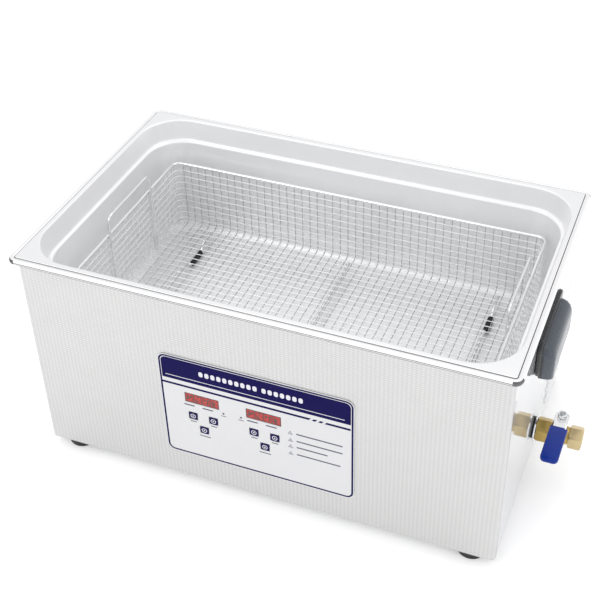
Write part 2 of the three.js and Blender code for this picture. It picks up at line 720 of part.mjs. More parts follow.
/** The outline of the basket at its wires' centres, grown or shrunk. */
function basketOutline(grow, Outline = THREE.Shape) {
  const width = 2 * (BASKET_HALF_X + grow);
  const depth = 2 * (BASKET_HALF_Y + grow);
  return roundedRect(width, depth, BASKET_CORNER + grow, 0, BASKET_Y, Outline);
}

/** The woven sides and floor as one thin open tray. */
function basketMesh() {
  const half = MESH_THICK / 2;
  const top = RIM_WIRE_Z - RIM_WIRE - GAP;
  const outside = solid(prism(basketOutline(half), BASKET_FLOOR_Z, top - BASKET_FLOOR_Z, { curve: 2 }));
  const floorTop = BASKET_FLOOR_Z + MESH_THICK;
  return outside.subtract(solid(prism(basketOutline(-half), floorTop, top, { curve: 2 })));
}

function basketRim() {
  const core = 0.2;
  const outline = basketOutline(core / 2);
  outline.holes.push(basketOutline(-core / 2, THREE.Path));
  const ends = RIM_WIRE - core / 2;
  return solid(prism(outline, RIM_WIRE_Z - core / 2, core, { ends, steps: 2, curve: 2 }));
}

const RUNNERS = [
  ['basket_runner_left', -RUNNER_SPREAD, true],
  ['basket_runner_centre', 0, false],
  ['basket_runner_right', RUNNER_SPREAD, true],
];
const FOOT_BENDS = [
  ['front', BASKET_Y - FOOT_BEND_SPREAD],
  ['rear', BASKET_Y + FOOT_BEND_SPREAD],
];

/** A wire under the basket floor, bent down into two feet if it has them. */
function basketRunner(x, hasFeet) {
  const reach = BASKET_HALF_Y - RUNNER_END;
  const slope = RUNNER_Z - FOOT_BEND_Z;
  const flat = SLEEVE_LENGTH / 2 + RUNNER_WIRE;
  const points = [[x, BASKET_Y - reach, RUNNER_Z]];
  for (const [, y] of hasFeet ? FOOT_BENDS : []) {
    points.push([x, y - flat - slope, RUNNER_Z], [x, y - flat, FOOT_BEND_Z]);
    points.push([x, y + flat, FOOT_BEND_Z], [x, y + flat + slope, RUNNER_Z]);
  }
  points.push([x, BASKET_Y + reach, RUNNER_Z]);
  return wire(points, RUNNER_WIRE, RUNNER_WIRE);
}

function basketSleeve(x, y) {
  const tube = disc(SLEEVE_RADIUS, 0, SLEEVE_LENGTH, RUNNER_WIRE + SLIDE_GAP, 16);
  return alongY(tube, x, y - SLEEVE_LENGTH / 2, FOOT_BEND_Z);
}

/** A tall wire loop that stands inside an end wall. */
function basketHandle(side) {
  const x = side * (BASKET_HALF_X - RIM_WIRE - GAP - HANDLE_WIRE);
  const low = BASKET_FLOOR_Z + MESH_THICK + GAP;
  const high = RIM_WIRE_Z + HANDLE_RISE;
  const near = BASKET_Y - HANDLE_WIDTH / 2;
  const far = BASKET_Y + HANDLE_WIDTH / 2;
  return wire([[x, near, low], [x, near, high], [x, far, high], [x, far, low]], HANDLE_WIRE, HANDLE_BEND);
}

// ---- Drain and valve ------------------------------------------------------------------

/** The bent pipe from the bath floor out through the side panel. */
function drainElbow() {
  const top = UNDER_FLOOR - GAP;
  const end = VALVE_X + PIPE_ENGAGE;
  const form = (radius, extra) => join(
    disc(radius, VALVE_Z, top + extra).translate([DRAIN_X, 0, 0]),
    alongX(disc(radius, 0, end - DRAIN_X + extra), DRAIN_X, 0, VALVE_Z),
    solid(new THREE.SphereGeometry(radius, 24, 12)).translate([DRAIN_X, 0, VALVE_Z]),
  );
  const flange = disc(ELBOW_FLANGE_RADIUS, top - ELBOW_FLANGE_THICK, top).translate([DRAIN_X, 0, 0]);
  return form(PIPE_RADIUS, 0).add(flange).subtract(form(PIPE_BORE, 1));
}

/** A ring on the pipe, just outside the side panel. */
function pipeRing(radius, x, thick) {
  return alongX(disc(radius, 0, thick, PIPE_RADIUS + SLIDE_GAP), x, 0, VALVE_Z);
}

function valveBody() {
  const hex = sidePrism(hexagon(VALVE_HEX), VALVE_X, CHAMBER_X + 1).translate([0, 0, VALVE_Z]);
  const chamber = alongX(disc(CHAMBER_RADIUS, 0, CHAMBER_LENGTH, 0, 32), CHAMBER_X, 0, VALVE_Z);
  const gland = disc(GLAND_RADIUS, 0, GLAND_RISE).translate([STEM_X, 0, VALVE_Z]);
  const socket = PIPE_ENGAGE + GAP;
  const pipeSocket = alongX(disc(PIPE_RADIUS + SLIDE_GAP, -1, socket), VALVE_X, 0, VALVE_Z);
  const through = alongX(disc(PIPE_BORE, 0, VALVE_BODY_END - VALVE_X + 1), VALVE_X, 0, VALVE_Z);
  const seat = BALL_RADIUS + SLIDE_GAP;
  const chamberRoom = alongX(disc(seat, 0, VALVE_BODY_END - STEM_X + seat + 1), STEM_X - seat, 0, VALVE_Z);
  const stemRoom = disc(STEM_RADIUS + SLIDE_GAP, 0, GLAND_RISE + 1, 0, 16).translate([STEM_X, 0, VALVE_Z]);
  return join(hex, chamber, gland).subtract(join(pipeSocket, through, chamberRoom, stemRoom));
}

function valveEnd() {
  const spigotX = VALVE_BODY_END - SPIGOT_LENGTH;
  const spigot = alongX(disc(BALL_RADIUS, 0, SPIGOT_LENGTH + GAP + 1), spigotX, 0, VALVE_Z);
  const hex = sidePrism(hexagon(END_HEX), END_X, VALVE_TIP).translate([0, 0, VALVE_Z]);
  const through = alongX(disc(PIPE_BORE, 0, VALVE_TIP - CHAMBER_X), CHAMBER_X, 0, VALVE_Z);
  const mouth = alongX(disc(END_BORE, 0, END_HEX_LENGTH), END_X + END_WALL, 0, VALVE_Z);
  return join(spigot, hex).subtract(join(through, mouth));
}

/** The ball, shown closed: its bore lies across the pipe. */
function valveBall() {
  const ball = solid(new THREE.SphereGeometry(BALL_RADIUS, 20, 12)).translate([STEM_X, 0, VALVE_Z]);
  const bore = alongY(disc(BALL_BORE, -CHAMBER_RADIUS, CHAMBER_RADIUS, 0, 16), STEM_X, 0, VALVE_Z);
  const top = VALVE_Z + BALL_RADIUS - BALL_FLAT;
  const reach = BALL_RADIUS;
  const flat = block([STEM_X - reach, -reach, top], [STEM_X + reach, reach, top + reach]);
  return ball.subtract(bore).subtract(flat);
}

function valveStem() {
  const low = VALVE_Z + BALL_RADIUS - BALL_FLAT + GAP;
  return disc(STEM_RADIUS, low, VALVE_Z + STEM_RISE, 0, 16).translate([STEM_X, 0, 0]);
}

/** The lever's side outline from the stem to its end, between two heights. */
function leverOutline(start, end, below, above) {
  const climbFrom = -LEVER_FLAT;
  const slope = LEVER_CLIMB / (LEVER_LENGTH - LEVER_FLAT);
  const rise = (y) => (y < climbFrom ? (climbFrom - y) * slope : 0);
  const marks = start > climbFrom && climbFrom > end ? [start, climbFrom, end] : [start, end];
  const line = (offset) => marks.map((y) => [y, LEVER_Z + rise(y) + offset]);
  return polygon([...line(-below), ...line(above).reverse()]);
}

/** The pressed steel lever: a plate with short rims turned up beside the stem. */
function valveLever() {
  const half = LEVER_WIDTH / 2;
  const plate = sidePrism(leverOutline(LEVER_TAIL, -LEVER_LENGTH, 0, LEVER_PLATE), -half, half);
  const rimOutline = leverOutline(LEVER_TAIL, GAP - SLEEVE_START, 0, LEVER_PLATE + LEVER_RIM);
  const rim = sidePrism(rimOutline, -half, -half + LEVER_PLATE);
  const rims = rim.add(rim.mirror([1, 0, 0]));
  const hole = disc(STEM_RADIUS + SLIDE_GAP, LEVER_Z - 1, LEVER_Z + LEVER_PLATE + 1, 0, 16);
  return plate.add(rims).subtract(hole).translate([STEM_X, 0, 0]);
}

/** The dipped vinyl sleeve over the lever's outer stretch. */
function leverSleeve() {
  const wall = GRIP_SLEEVE_WALL;
  const outerHalf = LEVER_WIDTH / 2 + GAP + wall - SLEEVE_ROUND;
  const end = LEVER_LENGTH + GAP + wall;
  const outline = leverOutline(-SLEEVE_START, -end, GAP + wall, LEVER_PLATE + GAP + wall);
  const outer = sidePrism(outline, -outerHalf, outerHalf, { ends: SLEEVE_ROUND, spread: 0.01, steps: 1 });
  const cavityEnd = LEVER_LENGTH + GAP;
  const cavity = leverOutline(-SLEEVE_START + 4, -cavityEnd, GAP, LEVER_PLATE + GAP);
  const halfCavity = LEVER_WIDTH / 2 + GAP;
  return outer.subtract(sidePrism(cavity, -halfCavity, halfCavity)).translate([STEM_X, 0, 0]);
}

function leverNut() {
  const low = LEVER_Z + LEVER_PLATE + GAP;
  const hex = solid(prism(hexagon(NUT_FLATS), low, NUT_HEIGHT));
  const bore = disc(STEM_RADIUS + SLIDE_GAP, low - 1, low + NUT_HEIGHT + 1, 0, 16);
  return hex.subtract(bore).translate([STEM_X, 0, 0]);
}

// ---- Parts under and behind the bath ----------------------------------------------------

/** A transducer bonded under the bath: a flared face, ceramic rings and a back mass on one bolt. */
function transducer(x, y) {
  const top = UNDER_FLOOR - GAP;
  const low = top - TRANSDUCER_LENGTH;
  const ringTop = low + BACK_MASS + RING_STACK;
  return turned([
    [0, low - BOLT_HEAD],
    [BOLT_RADIUS, low - BOLT_HEAD],
    [BOLT_RADIUS, low],
    [TRANSDUCER_WAIST, low],
    [TRANSDUCER_WAIST, low + BACK_MASS],
    [RING_RADIUS, low + BACK_MASS],
    [RING_RADIUS, ringTop],
    [TRANSDUCER_WAIST, ringTop],
    [TRANSDUCER_FACE, top - FACE_EDGE],
    [TRANSDUCER_FACE, top],
    [0, top],
  ], 16).translate([x, y, 0]);
}

/** Two rows of places, evenly spread about the bath's middle. */
function transducerPlaces() {
  const places = [];
  for (const y of [-TRANSDUCER_ROW, TRANSDUCER_ROW]) {
    for (let i = 0; i < TRANSDUCER_PER_ROW; i += 1) {
      places.push([(i - (TRANSDUCER_PER_ROW - 1) / 2) * TRANSDUCER_PITCH, y]);
    }
  }
  return places;
}

/** A flat heating pad on the front or rear wall of the well. */
function heater(side) {
  const inner = WELL_DEPTH / 2 + TANK_WALL + GAP;
  const middle = side * (inner + HEATER_THICK / 2);
  const low = FLOOR_Z + FLOOR_ROUND + GAP;
  return block(
    [-HEATER_LENGTH / 2, middle - HEATER_THICK / 2, low],
    [HEATER_LENGTH / 2, middle + HEATER_THICK / 2, low + HEATER_HEIGHT],
  );
}

function temperatureSensor() {
  const top = UNDER_FLOOR - GAP;
  return disc(SENSOR_RADIUS, top - SENSOR_LENGTH, top, 0, 16).translate([DRAIN_X - SENSOR_OFFSET, 0, 0]);
}

/** The ultrasonic driver: a board on posts, with its finned heat sink and its transformer. */
function driverBoard() {
  const floor = POST_HEIGHT;
  const half = DRIVER_LENGTH / 2;
  const top = floor + DRIVER_HEIGHT;
  const sunk = floor + BOARD_THICK / 2; // pieces overlap the board by half its thickness
  const board = block([0, -half, floor], [DRIVER_DEPTH, half, floor + BOARD_THICK]);
  const sinkFront = -half + DRIVER_EDGE;
  const sinkDepth = (SINK_FINS - 1) * SINK_PITCH + SINK_FIN;
  const sink = block([DRIVER_EDGE, sinkFront, sunk], [DRIVER_EDGE + sinkDepth, 0, sunk + SINK_BASE]);
  const fins = Array.from({ length: SINK_FINS }, (_, i) => {
    const x = DRIVER_EDGE + i * SINK_PITCH;
    return block([x, sinkFront, sunk], [x + SINK_FIN, 0, top]);
  });
  const coil = block(
    [DRIVER_EDGE, TRANSFORMER_START, sunk],
    [DRIVER_DEPTH - DRIVER_EDGE, TRANSFORMER_START + TRANSFORMER_LENGTH, top - TRANSFORMER_DROP],
  );
  const posts = [];
  for (const x of [DRIVER_EDGE, DRIVER_DEPTH - DRIVER_EDGE]) {
    for (const y of [-half + DRIVER_EDGE, half - DRIVER_EDGE]) {
      posts.push(disc(POST_RADIUS, 0, sunk, 0, 8).translate([x, y, 0]));
    }
  }
  return join(board, sink, ...fins, coil, ...posts).translate([-SIDE_FACE + DRIVER_INSET, 0, BASE_TOP + GAP]);
}

/** The fan's square frame with its round duct and the arms that hold the motor. */
function fanFrame() {
  const front = FAN_BACK - FAN_DEPTH;
  const half = FAN_SIZE / 2;
  const outline = roundedRect(FAN_SIZE, FAN_SIZE, FAN_CORNER, FAN_X, FAN_Z);
  const frame = frontPrism(outline, front, FAN_BACK, { curve: 1 });
  const duct = alongY(disc(half - FAN_WALL, front - 1, FAN_BACK + 1, 0, 32), FAN_X, 0, FAN_Z);
  const armEnd = half - FAN_WALL / 2;
  const armBack = front + FAN_ARM;
  const upright = block([-FAN_ARM / 2, front, -armEnd], [FAN_ARM / 2, armBack, armEnd]);
  const level = block([-armEnd, front, -FAN_ARM / 2], [armEnd, armBack, FAN_ARM / 2]);
  const arms = upright.add(level).translate([FAN_X, 0, FAN_Z]);
  const motor = alongY(disc(FAN_HUB, front, front + FAN_MOTOR), FAN_X, 0, FAN_Z);
  return frame.subtract(duct).add(arms).add(motor);
}

/** The fan's hub and blades. */
function fanRotor() {
  const low = FAN_BACK - FAN_DEPTH + FAN_MOTOR + SLIDE_GAP;
  const high = FAN_BACK - FAN_END_GAP;
  const tip = FAN_SIZE / 2 - FAN_WALL - FAN_TIP_GAP;
  const chord = (high - low) * FAN_CHORD;
  const blade = block([-BLADE_THICK / 2, 0, -chord / 2], [BLADE_THICK / 2, tip, chord / 2]);
  const set = Array.from({ length: FAN_BLADES }, (_, i) => (
    blade.rotate([0, FAN_PITCH, 0]).rotate([0, 0, (i * 360) / FAN_BLADES])
  ));
  const blades = join(...set).translate([0, 0, (low + high) / 2]).intersect(disc(tip, low, high));
  return alongY(disc(FAN_HUB, low, high).add(blades), FAN_X, 0, FAN_Z);
}

/** The mains inlet: a socket with three pins, open to the rear, over its fuse box. */
function powerInlet() {
  const face = REAR_FACE + GAP;
  const front = face - INLET_DEPTH;
  const w = INLET_WIDTH / 2;
  const h = INLET_HEIGHT / 2;
  const room = roundedRect(INLET_WIDTH - 2 * INLET_WALL, INLET_HEIGHT - 2 * INLET_WALL, INLET_CORNER);
  const outline = roundedRect(INLET_WIDTH + 2 * INLET_EAR, INLET_HEIGHT + 2 * INLET_WALL, INLET_CORNER);
  const flange = frontPrism(outline, face, face + INLET_FACE, { curve: 1 });
  const box = block([-w, front, -h], [w, face + INLET_FACE, h]);
  const floor = front + INLET_FUSE_ROOM;
  const socket = frontPrism(room, floor, face + INLET_FACE + 1, { curve: 1 });
  const pins = INLET_PINS.map(([x, z]) => block(
    [x - PIN_THICK / 2, floor - 1, z - PIN_HEIGHT / 2],
    [x + PIN_THICK / 2, face - PIN_BELOW, z + PIN_HEIGHT / 2],
  ));
  return flange.add(box).subtract(socket).add(join(...pins)).translate([INLET_X, 0, REAR_FITTINGS_Z]);
}

function switchBezel() {
  const face = REAR_FACE + GAP;
  const back = face - SWITCH_DEPTH;
  const w = SWITCH_WIDTH / 2;
  const h = SWITCH_HEIGHT / 2;
  const wall = BEZEL_WALL;
  const rim = block([-w - wall, face, -h - wall], [w + wall, face + BEZEL_FACE, h + wall]);
  const box = block([-w, back, -h], [w, face + BEZEL_FACE, h]);
  const room = block([-w + wall, back + wall, -h + wall], [w - wall, face + BEZEL_FACE + 1, h - wall]);
  return rim.add(box).subtract(room).translate([SWITCH_X, 0, REAR_FITTINGS_Z]);
}

/** The rocker, tilted to off: its lower half is pressed in. */
function powerRocker() {
  const half = SWITCH_HEIGHT / 2 - BEZEL_WALL - ROCKER_END_GAP;
  const w = SWITCH_WIDTH / 2 - BEZEL_WALL - SLIDE_GAP;
  const outline = polygon([
    [-ROCKER_BODY, -half * ROCKER_WAIST],
    [ROCKER_CROWN, -half],
    [ROCKER_DISH, 0],
    [ROCKER_CROWN, half],
    [-ROCKER_BODY, half * ROCKER_WAIST],
  ]);
  return sidePrism(outline, -w, w)
    .rotate([-ROCKER_TILT, 0, 0])
    .translate([SWITCH_X, REAR_FACE, REAR_FITTINGS_Z]);
}

// ---- Assembly ------------------------------------------------------------------------------

const machine = new THREE.Group();

/** Adds a group of pieces to the machine. */
function assemble(...pieces) {
  const group = new THREE.Group();
  group.add(...pieces);
  machine.add(group);
}

assemble(piece('tank', tank(), SATIN_STEEL));

const leftPanel = sidePanel(false).mirror([1, 0, 0]);
assemble(
  piece('front_panel', frontPanel(), EMBOSSED_STEEL),
  piece('rear_panel', rearPanel(), EMBOSSED_STEEL),
  piece('left_panel', leftPanel, POLISHED_STEEL),
  piece('right_panel', sidePanel(true), POLISHED_STEEL),
  piece('base_plate', basePlate(), ZINC_STEEL),
);

const footX = SIDE_FACE - FOOT_INSET_X;
const footY = HALF_D - FOOT_INSET_Y;
for (const [end, y] of [['front', -footY], ['rear', footY]]) {
  for (const [side, x] of [['left', -footX], ['right', footX]]) {
    assemble(piece(`foot_${end}_${side}`, foot().translate([x, y, 0]), BLACK_RUBBER));
  }
}

assemble(
  piece('control_overlay', controlOverlay(), LABEL_FILM),
  piece('control_board', controlBoard(), CIRCUIT_BOARD),
  ...DISPLAYS.map(([name, x]) => piece(name, display(x), DISPLAY_GLASS)),
  ...KEY_PLACES.map(([name, x, z]) => piece(name, key(x, z), NAVY_KEY)),
);

assemble(
  piece('side_handle_right', sideHandle(), BLACK_PLASTIC),
  piece('side_handle_left', sideHandle().mirror([1, 0, 0]), BLACK_PLASTIC),
);

assemble(
  piece('basket_mesh', basketMesh(), POLISHED_STEEL),
  piece('basket_rim', basketRim(), POLISHED_STEEL),
  piece('basket_handle_left', basketHandle(-1), POLISHED_STEEL),
  piece('basket_handle_right', basketHandle(1), POLISHED_STEEL),
  ...RUNNERS.map(([name, x, hasFeet]) => piece(name, basketRunner(x, hasFeet), POLISHED_STEEL)),
);
for (const [side, x] of [['left', -RUNNER_SPREAD], ['right', RUNNER_SPREAD]]) {
  for (const [end, y] of FOOT_BENDS) {
    assemble(piece(`basket_foot_${end}_${side}`, basketSleeve(x, y), BLACK_RUBBER));
  }
}

assemble(
  piece('drain_elbow', drainElbow(), SATIN_STEEL),
  piece('drain_gasket', pipeRing(GASKET_RADIUS, GASKET_X, GASKET_THICK), BLACK_RUBBER),
  piece('drain_washer', pipeRing(WASHER_RADIUS, WASHER_X, WASHER_THICK), ZINC_STEEL),
  piece('valve_body', valveBody(), BRASS),
  piece('valve_end', valveEnd(), BRASS),
  piece('valve_ball', valveBall(), POLISHED_STEEL),
  piece('valve_stem', valveStem(), BRASS),
  piece('valve_lever', valveLever(), ZINC_STEEL),
  piece('lever_sleeve', leverSleeve(), BLUE_VINYL),
  piece('lever_nut', leverNut(), ZINC_STEEL),
);

assemble(
  ...transducerPlaces().map(([x, y], i) => piece(`transducer_${i + 1}`, transducer(x, y), ALUMINIUM)),
  piece('heater_front', heater(-1), HEATER_RUBBER),
  piece('heater_rear', heater(1), HEATER_RUBBER),
  piece('temperature_sensor', temperatureSensor(), ALUMINIUM),
  piece('driver_board', driverBoard(), CIRCUIT_BOARD),
  piece('fan_frame', fanFrame(), BLACK_PLASTIC),
  piece('fan_rotor', fanRotor(), BLACK_PLASTIC),
  piece('power_inlet', powerInlet(), BLACK_PLASTIC),
  piece('switch_bezel', switchBezel(), BLACK_PLASTIC),
  piece('power_rocker', powerRocker(), BLACK_PLASTIC),
);

// The origin is on the standing surface, under the middle of the whole outline.
machine.position.x = (SIDE_FACE + GAP + GRIP_PLATE + HOOD_REACH - VALVE_TIP) / 2;

export default machine;
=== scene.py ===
"""Looks of a bench ultrasonic cleaner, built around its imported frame.

Metres, +Z up, the control panel towards -Y and the drain valve towards +X.
"""
import logging
import math
from dataclasses import dataclass, field
from enum import Enum
from typing import Callable, Optional, Sequence

import bmesh
import bpy
from mathutils import Matrix, Vector


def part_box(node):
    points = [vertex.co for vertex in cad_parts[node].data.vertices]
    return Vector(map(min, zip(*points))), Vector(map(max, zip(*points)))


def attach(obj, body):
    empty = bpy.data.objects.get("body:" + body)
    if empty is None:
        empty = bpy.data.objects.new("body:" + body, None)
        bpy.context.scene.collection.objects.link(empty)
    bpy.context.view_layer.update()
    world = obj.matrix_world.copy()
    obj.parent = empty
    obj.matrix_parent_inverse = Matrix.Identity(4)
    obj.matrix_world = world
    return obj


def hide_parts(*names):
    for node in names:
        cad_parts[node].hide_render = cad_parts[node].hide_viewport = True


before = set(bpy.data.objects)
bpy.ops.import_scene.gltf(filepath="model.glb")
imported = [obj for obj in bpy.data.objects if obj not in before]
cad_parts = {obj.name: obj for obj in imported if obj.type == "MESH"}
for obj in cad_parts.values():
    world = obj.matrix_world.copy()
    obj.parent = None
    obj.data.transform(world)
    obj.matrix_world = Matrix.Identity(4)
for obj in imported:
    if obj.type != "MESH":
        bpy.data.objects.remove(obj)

LOG = logging.getLogger("ultrasonic_cleaner")
MM = 0.001
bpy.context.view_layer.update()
MIDDLE_X = (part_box("tank")[0][0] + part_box("tank")[1][0]) / 2

Pair = tuple[float, float]
Point = tuple[float, float, float]
Loop = list[Vector]

NOISE_RANGE = (0.25, 0.75)  # where nearly all of a noise factor lies
PEG_OFFSETS = (-42, 42)  # the pulls' pegs, either side of the middle, in millimetres


# ---- Node graphs and finishes -----------------------------------------------------------


class Graph:
    """A short way to write a material's node tree."""

    def __init__(self, name: str) -> None:
        """Starts a material with a Principled shader on its output.

        Args:
            name: the material's name.
        """
        self.material = bpy.data.materials.new(name)
        self.material.use_nodes = True
        self.tree = self.material.node_tree
        self.tree.nodes.clear()
        output = self.tree.nodes.new("ShaderNodeOutputMaterial")
        self.shader = self.tree.nodes.new("ShaderNodeBsdfPrincipled")
        self.link(self.shader.outputs["BSDF"], output.inputs["Surface"])
        self.place = self.node("ShaderNodeTexCoord").outputs["Object"]

    def node(self, kind: str, **settings: object) -> bpy.types.Node:
        """Adds a node and sets its named properties.

        Args:
            kind: the node's type.
            settings: its properties by name.

        Returns:
            The node.
        """
        made = self.tree.nodes.new(kind)
        for key, value in settings.items():
            setattr(made, key, value)
        return made

    def link(self, source: bpy.types.NodeSocket, target: bpy.types.NodeSocket) -> None:
        """Joins one socket to another."""
        self.tree.links.new(source, target)

    def feed(self, target: bpy.types.NodeSocket, value: object) -> None:
        """Gives a socket a value, or links it when the value is itself a socket.

        Args:
            target: the socket to set.
            value: a plain value or another socket.
        """
        if isinstance(value, bpy.types.NodeSocket):
            self.link(value, target)
        else:
            target.default_value = value

    def math(self, operation: str, *values: object) -> bpy.types.NodeSocket:
        """A maths node on numbers or sockets.

        Args:
            operation: the node's operation, such as "MULTIPLY".
            values: its inputs in order.

        Returns:
            The node's output socket.
        """
        made = self.node("ShaderNodeMath", operation=operation)
        for socket, value in zip(made.inputs, values):
            self.feed(socket, value)
        return made.outputs[0]

    def stretch(self, scale: Point) -> bpy.types.NodeSocket:
        """The object's own coordinates, stretched along each axis.

        Args:
            scale: how much each axis is stretched.

        Returns:
            The coordinates' socket.
        """
        mapping = self.node("ShaderNodeMapping")
        self.link(self.place, mapping.inputs["Vector"])
        mapping.inputs["Scale"].default_value = scale
        return mapping.outputs["Vector"]

    def noise(self, scale: float, detail: float = 3.0, stretch: Point = (1, 1, 1)) -> bpy.types.NodeSocket:
        """Fine noise over the object's own coordinates.

        Args:
            scale: repeats per metre.
            detail: octaves.
            stretch: how much each axis is stretched first.

        Returns:
            The noise factor's socket.
        """
        made = self.node("ShaderNodeTexNoise")
        made.inputs["Scale"].default_value = scale
        made.inputs["Detail"].default_value = detail
        self.link(self.stretch(stretch), made.inputs["Vector"])
        return made.outputs["Fac"]

    def spread(self, factor: bpy.types.NodeSocket, low: float, high: float) -> bpy.types.NodeSocket:
        """Maps a 0 to 1 factor onto the range from low to high.

        Args:
            factor: the factor's socket.
            low: what its low end gives.
            high: what its high end gives.

        Returns:
            The mapped value's socket.
        """
        made = self.node("ShaderNodeMapRange")
        self.link(factor, made.inputs["Value"])
        made.inputs["From Min"].default_value, made.inputs["From Max"].default_value = NOISE_RANGE
        made.inputs["To Min"].default_value = low
        made.inputs["To Max"].default_value = high
        return made.outputs["Result"]

    def shades(self, factor: bpy.types.NodeSocket, dark: Point, light: Point) -> bpy.types.NodeSocket:
        """A colour that runs from dark to light with a factor.

        Args:
            factor: the factor's socket.
            dark: the colour at 0.
            light: the colour at 1.

        Returns:
            The colour's socket.
        """
        made = self.node("ShaderNodeMix", data_type="RGBA")
        self.link(factor, made.inputs["Factor"])
        colours = [socket for socket in made.inputs if socket.type == "RGBA"]
        colours[0].default_value = (*dark, 1)
        colours[1].default_value = (*light, 1)
        return [socket for socket in made.outputs if socket.type == "RGBA"][0]

    def bump(self, height: bpy.types.NodeSocket, distance: float, strength: float = 1.0) -> None:
        """Adds a bump to the shader's normal, over any that is there already.

        Args:
            height: the height's socket.
            distance: how deep it goes, in metres.
            strength: its share, from 0 to 1.
        """
        made = self.node("ShaderNodeBump")
        made.inputs["Strength"].default_value = strength
        made.inputs["Distance"].default_value = distance
        self.link(height, made.inputs["Height"])
        earlier = self.shader.inputs["Normal"].links
        if earlier:
            self.link(earlier[0].from_socket, made.inputs["Normal"])
        self.link(made.outputs["Normal"], self.shader.inputs["Normal"])


def scaled(colour: Point, share: float) -> Point:
    """A colour made darker or lighter by one share."""
    return tuple(min(1.0, part * share) for part in colour)


class Grain(Enum):
    """Which way a metal's fine marks run, as the stretch of its noise."""

    ALONG_X = (2.0, 60.0, 60.0)
    ALONG_Y = (60.0, 2.0, 60.0)
    EVEN = (12.0, 12.0, 12.0)


@dataclass(frozen=True)
class Metal:
    """Bare metal with drawn or turned marks and a slow change of tone."""

    name: str
    colour: Point
    roughness: float
    grain: Grain = Grain.EVEN
    marks: float = 0.06  # how far the marks move the roughness
    tone: float = 0.05  # how far the tone drifts
    relief: float = 0.0  # depth of the marks, metres
    metallic: float = 1.0  # less where a fine satin surface scatters light

    def build(self) -> bpy.types.Material:
        """Builds the material.

        Returns:
            The material.
        """
        graph = Graph(self.name)
        drift = graph.noise(9.0, 2.0)
        marks = graph.noise(22.0, 4.0, self.grain.value)
        both = graph.math("ADD", graph.math("MULTIPLY", drift, 0.6), graph.math("MULTIPLY", marks, 0.4))
        colour = graph.shades(both, scaled(self.colour, 1 - self.tone), scaled(self.colour, 1 + self.tone))
        graph.link(colour, graph.shader.inputs["Base Color"])
        rough = graph.spread(marks, self.roughness - self.marks, self.roughness + self.marks)
        graph.link(rough, graph.shader.inputs["Roughness"])
        graph.shader.inputs["Metallic"].default_value = self.metallic
        if self.relief:
            graph.bump(marks, self.relief, 0.5)
        return graph.material


@dataclass(frozen=True)
class Embossed:
    """Stainless sheet rolled with a fine linen pattern."""

    name: str
    colour: Point
    roughness: float
    pitch: float = 4.4 * MM
    closeness: float = 1.6  # rows per column
    shade: float = 0.77  # how dark the painted shade in the hollows is
    glint: float = 1.1  # how light the painted highlights on the crests are
    depth: float = 0.12 * MM
    upright_share: float = 0.44  # how much each part of the pattern counts
    across_share: float = 0.28
    thread_share: float = 0.34
    speckle_share: float = 0.5
    lowest: float = -0.9  # the pattern's range, from hollow to crest
    highest: float = 1.3
    metallic: float = 0.85

    def build(self) -> bpy.types.Material:
        """Builds the material.

        Returns:
            The material.
        """
        graph = Graph(self.name)
        split = graph.node("ShaderNodeSeparateXYZ")
        graph.link(graph.place, split.inputs[0])
        turns = 2 * math.pi / self.pitch
        across = graph.math("SINE", graph.math("MULTIPLY", split.outputs["X"], turns))
        upright = graph.math("SINE", graph.math("MULTIPLY", split.outputs["Z"], turns * self.closeness))
        threads = graph.math("MULTIPLY", across, upright)
        tall_rows = graph.math("MULTIPLY", upright, self.upright_share)
        wide_rows = graph.math("MULTIPLY", across, self.across_share)
        rows = graph.math("ADD", tall_rows, wide_rows)
        weave = graph.math("ADD", rows, graph.math("MULTIPLY", threads, self.thread_share))
        speckle = graph.math("MULTIPLY", graph.noise(700.0, 2.0), self.speckle_share)
        broken = graph.math("ADD", weave, speckle)
        level = graph.node("ShaderNodeMapRange")
        graph.link(broken, level.inputs["Value"])
        level.inputs["From Min"].default_value = self.lowest
        level.inputs["From Max"].default_value = self.highest
        # Painted shade in the pattern's hollows and painted highlights on its crests; the relief itself is
        # the bump.
        hollow, crest = scaled(self.colour, self.shade), scaled(self.colour, self.glint)
        colour = graph.shades(level.outputs["Result"], hollow, crest)
        graph.link(colour, graph.shader.inputs["Base Color"])
        rough = graph.spread(graph.noise(40.0), self.roughness - 0.05, self.roughness + 0.05)
        graph.link(rough, graph.shader.inputs["Roughness"])
        graph.shader.inputs["Metallic"].default_value = self.metallic
        graph.bump(broken, self.depth)
        return graph.material


@dataclass(frozen=True)
class Moulded:
    """Plastic, rubber or vinyl with a fine moulded texture."""

    name: str
    colour: Point
    roughness: float
    texture: float = 0.02 * MM
    texture_scale: float = 700.0
    coat: float = 0.0
    tone: float = 0.12
    shine: float = 0.5

    def build(self) -> bpy.types.Material:
        """Builds the material.

        Returns:
            The material.
        """
        graph = Graph(self.name)
        drift = graph.noise(35.0, 3.0)
        colour = graph.shades(drift, scaled(self.colour, 1 - self.tone), scaled(self.colour, 1 + self.tone))
        graph.link(colour, graph.shader.inputs["Base Color"])
        rough = graph.spread(graph.noise(60.0), self.roughness * 0.85, self.roughness * 1.15)
        graph.link(rough, graph.shader.inputs["Roughness"])
        graph.shader.inputs["Coat Weight"].default_value = self.coat
        graph.shader.inputs["Coat Roughness"].default_value = 0.08
        graph.shader.inputs["Specular IOR Level"].default_value = self.shine
        graph.bump(graph.noise(self.texture_scale, 2.0), self.texture, 0.6)
        return graph.material


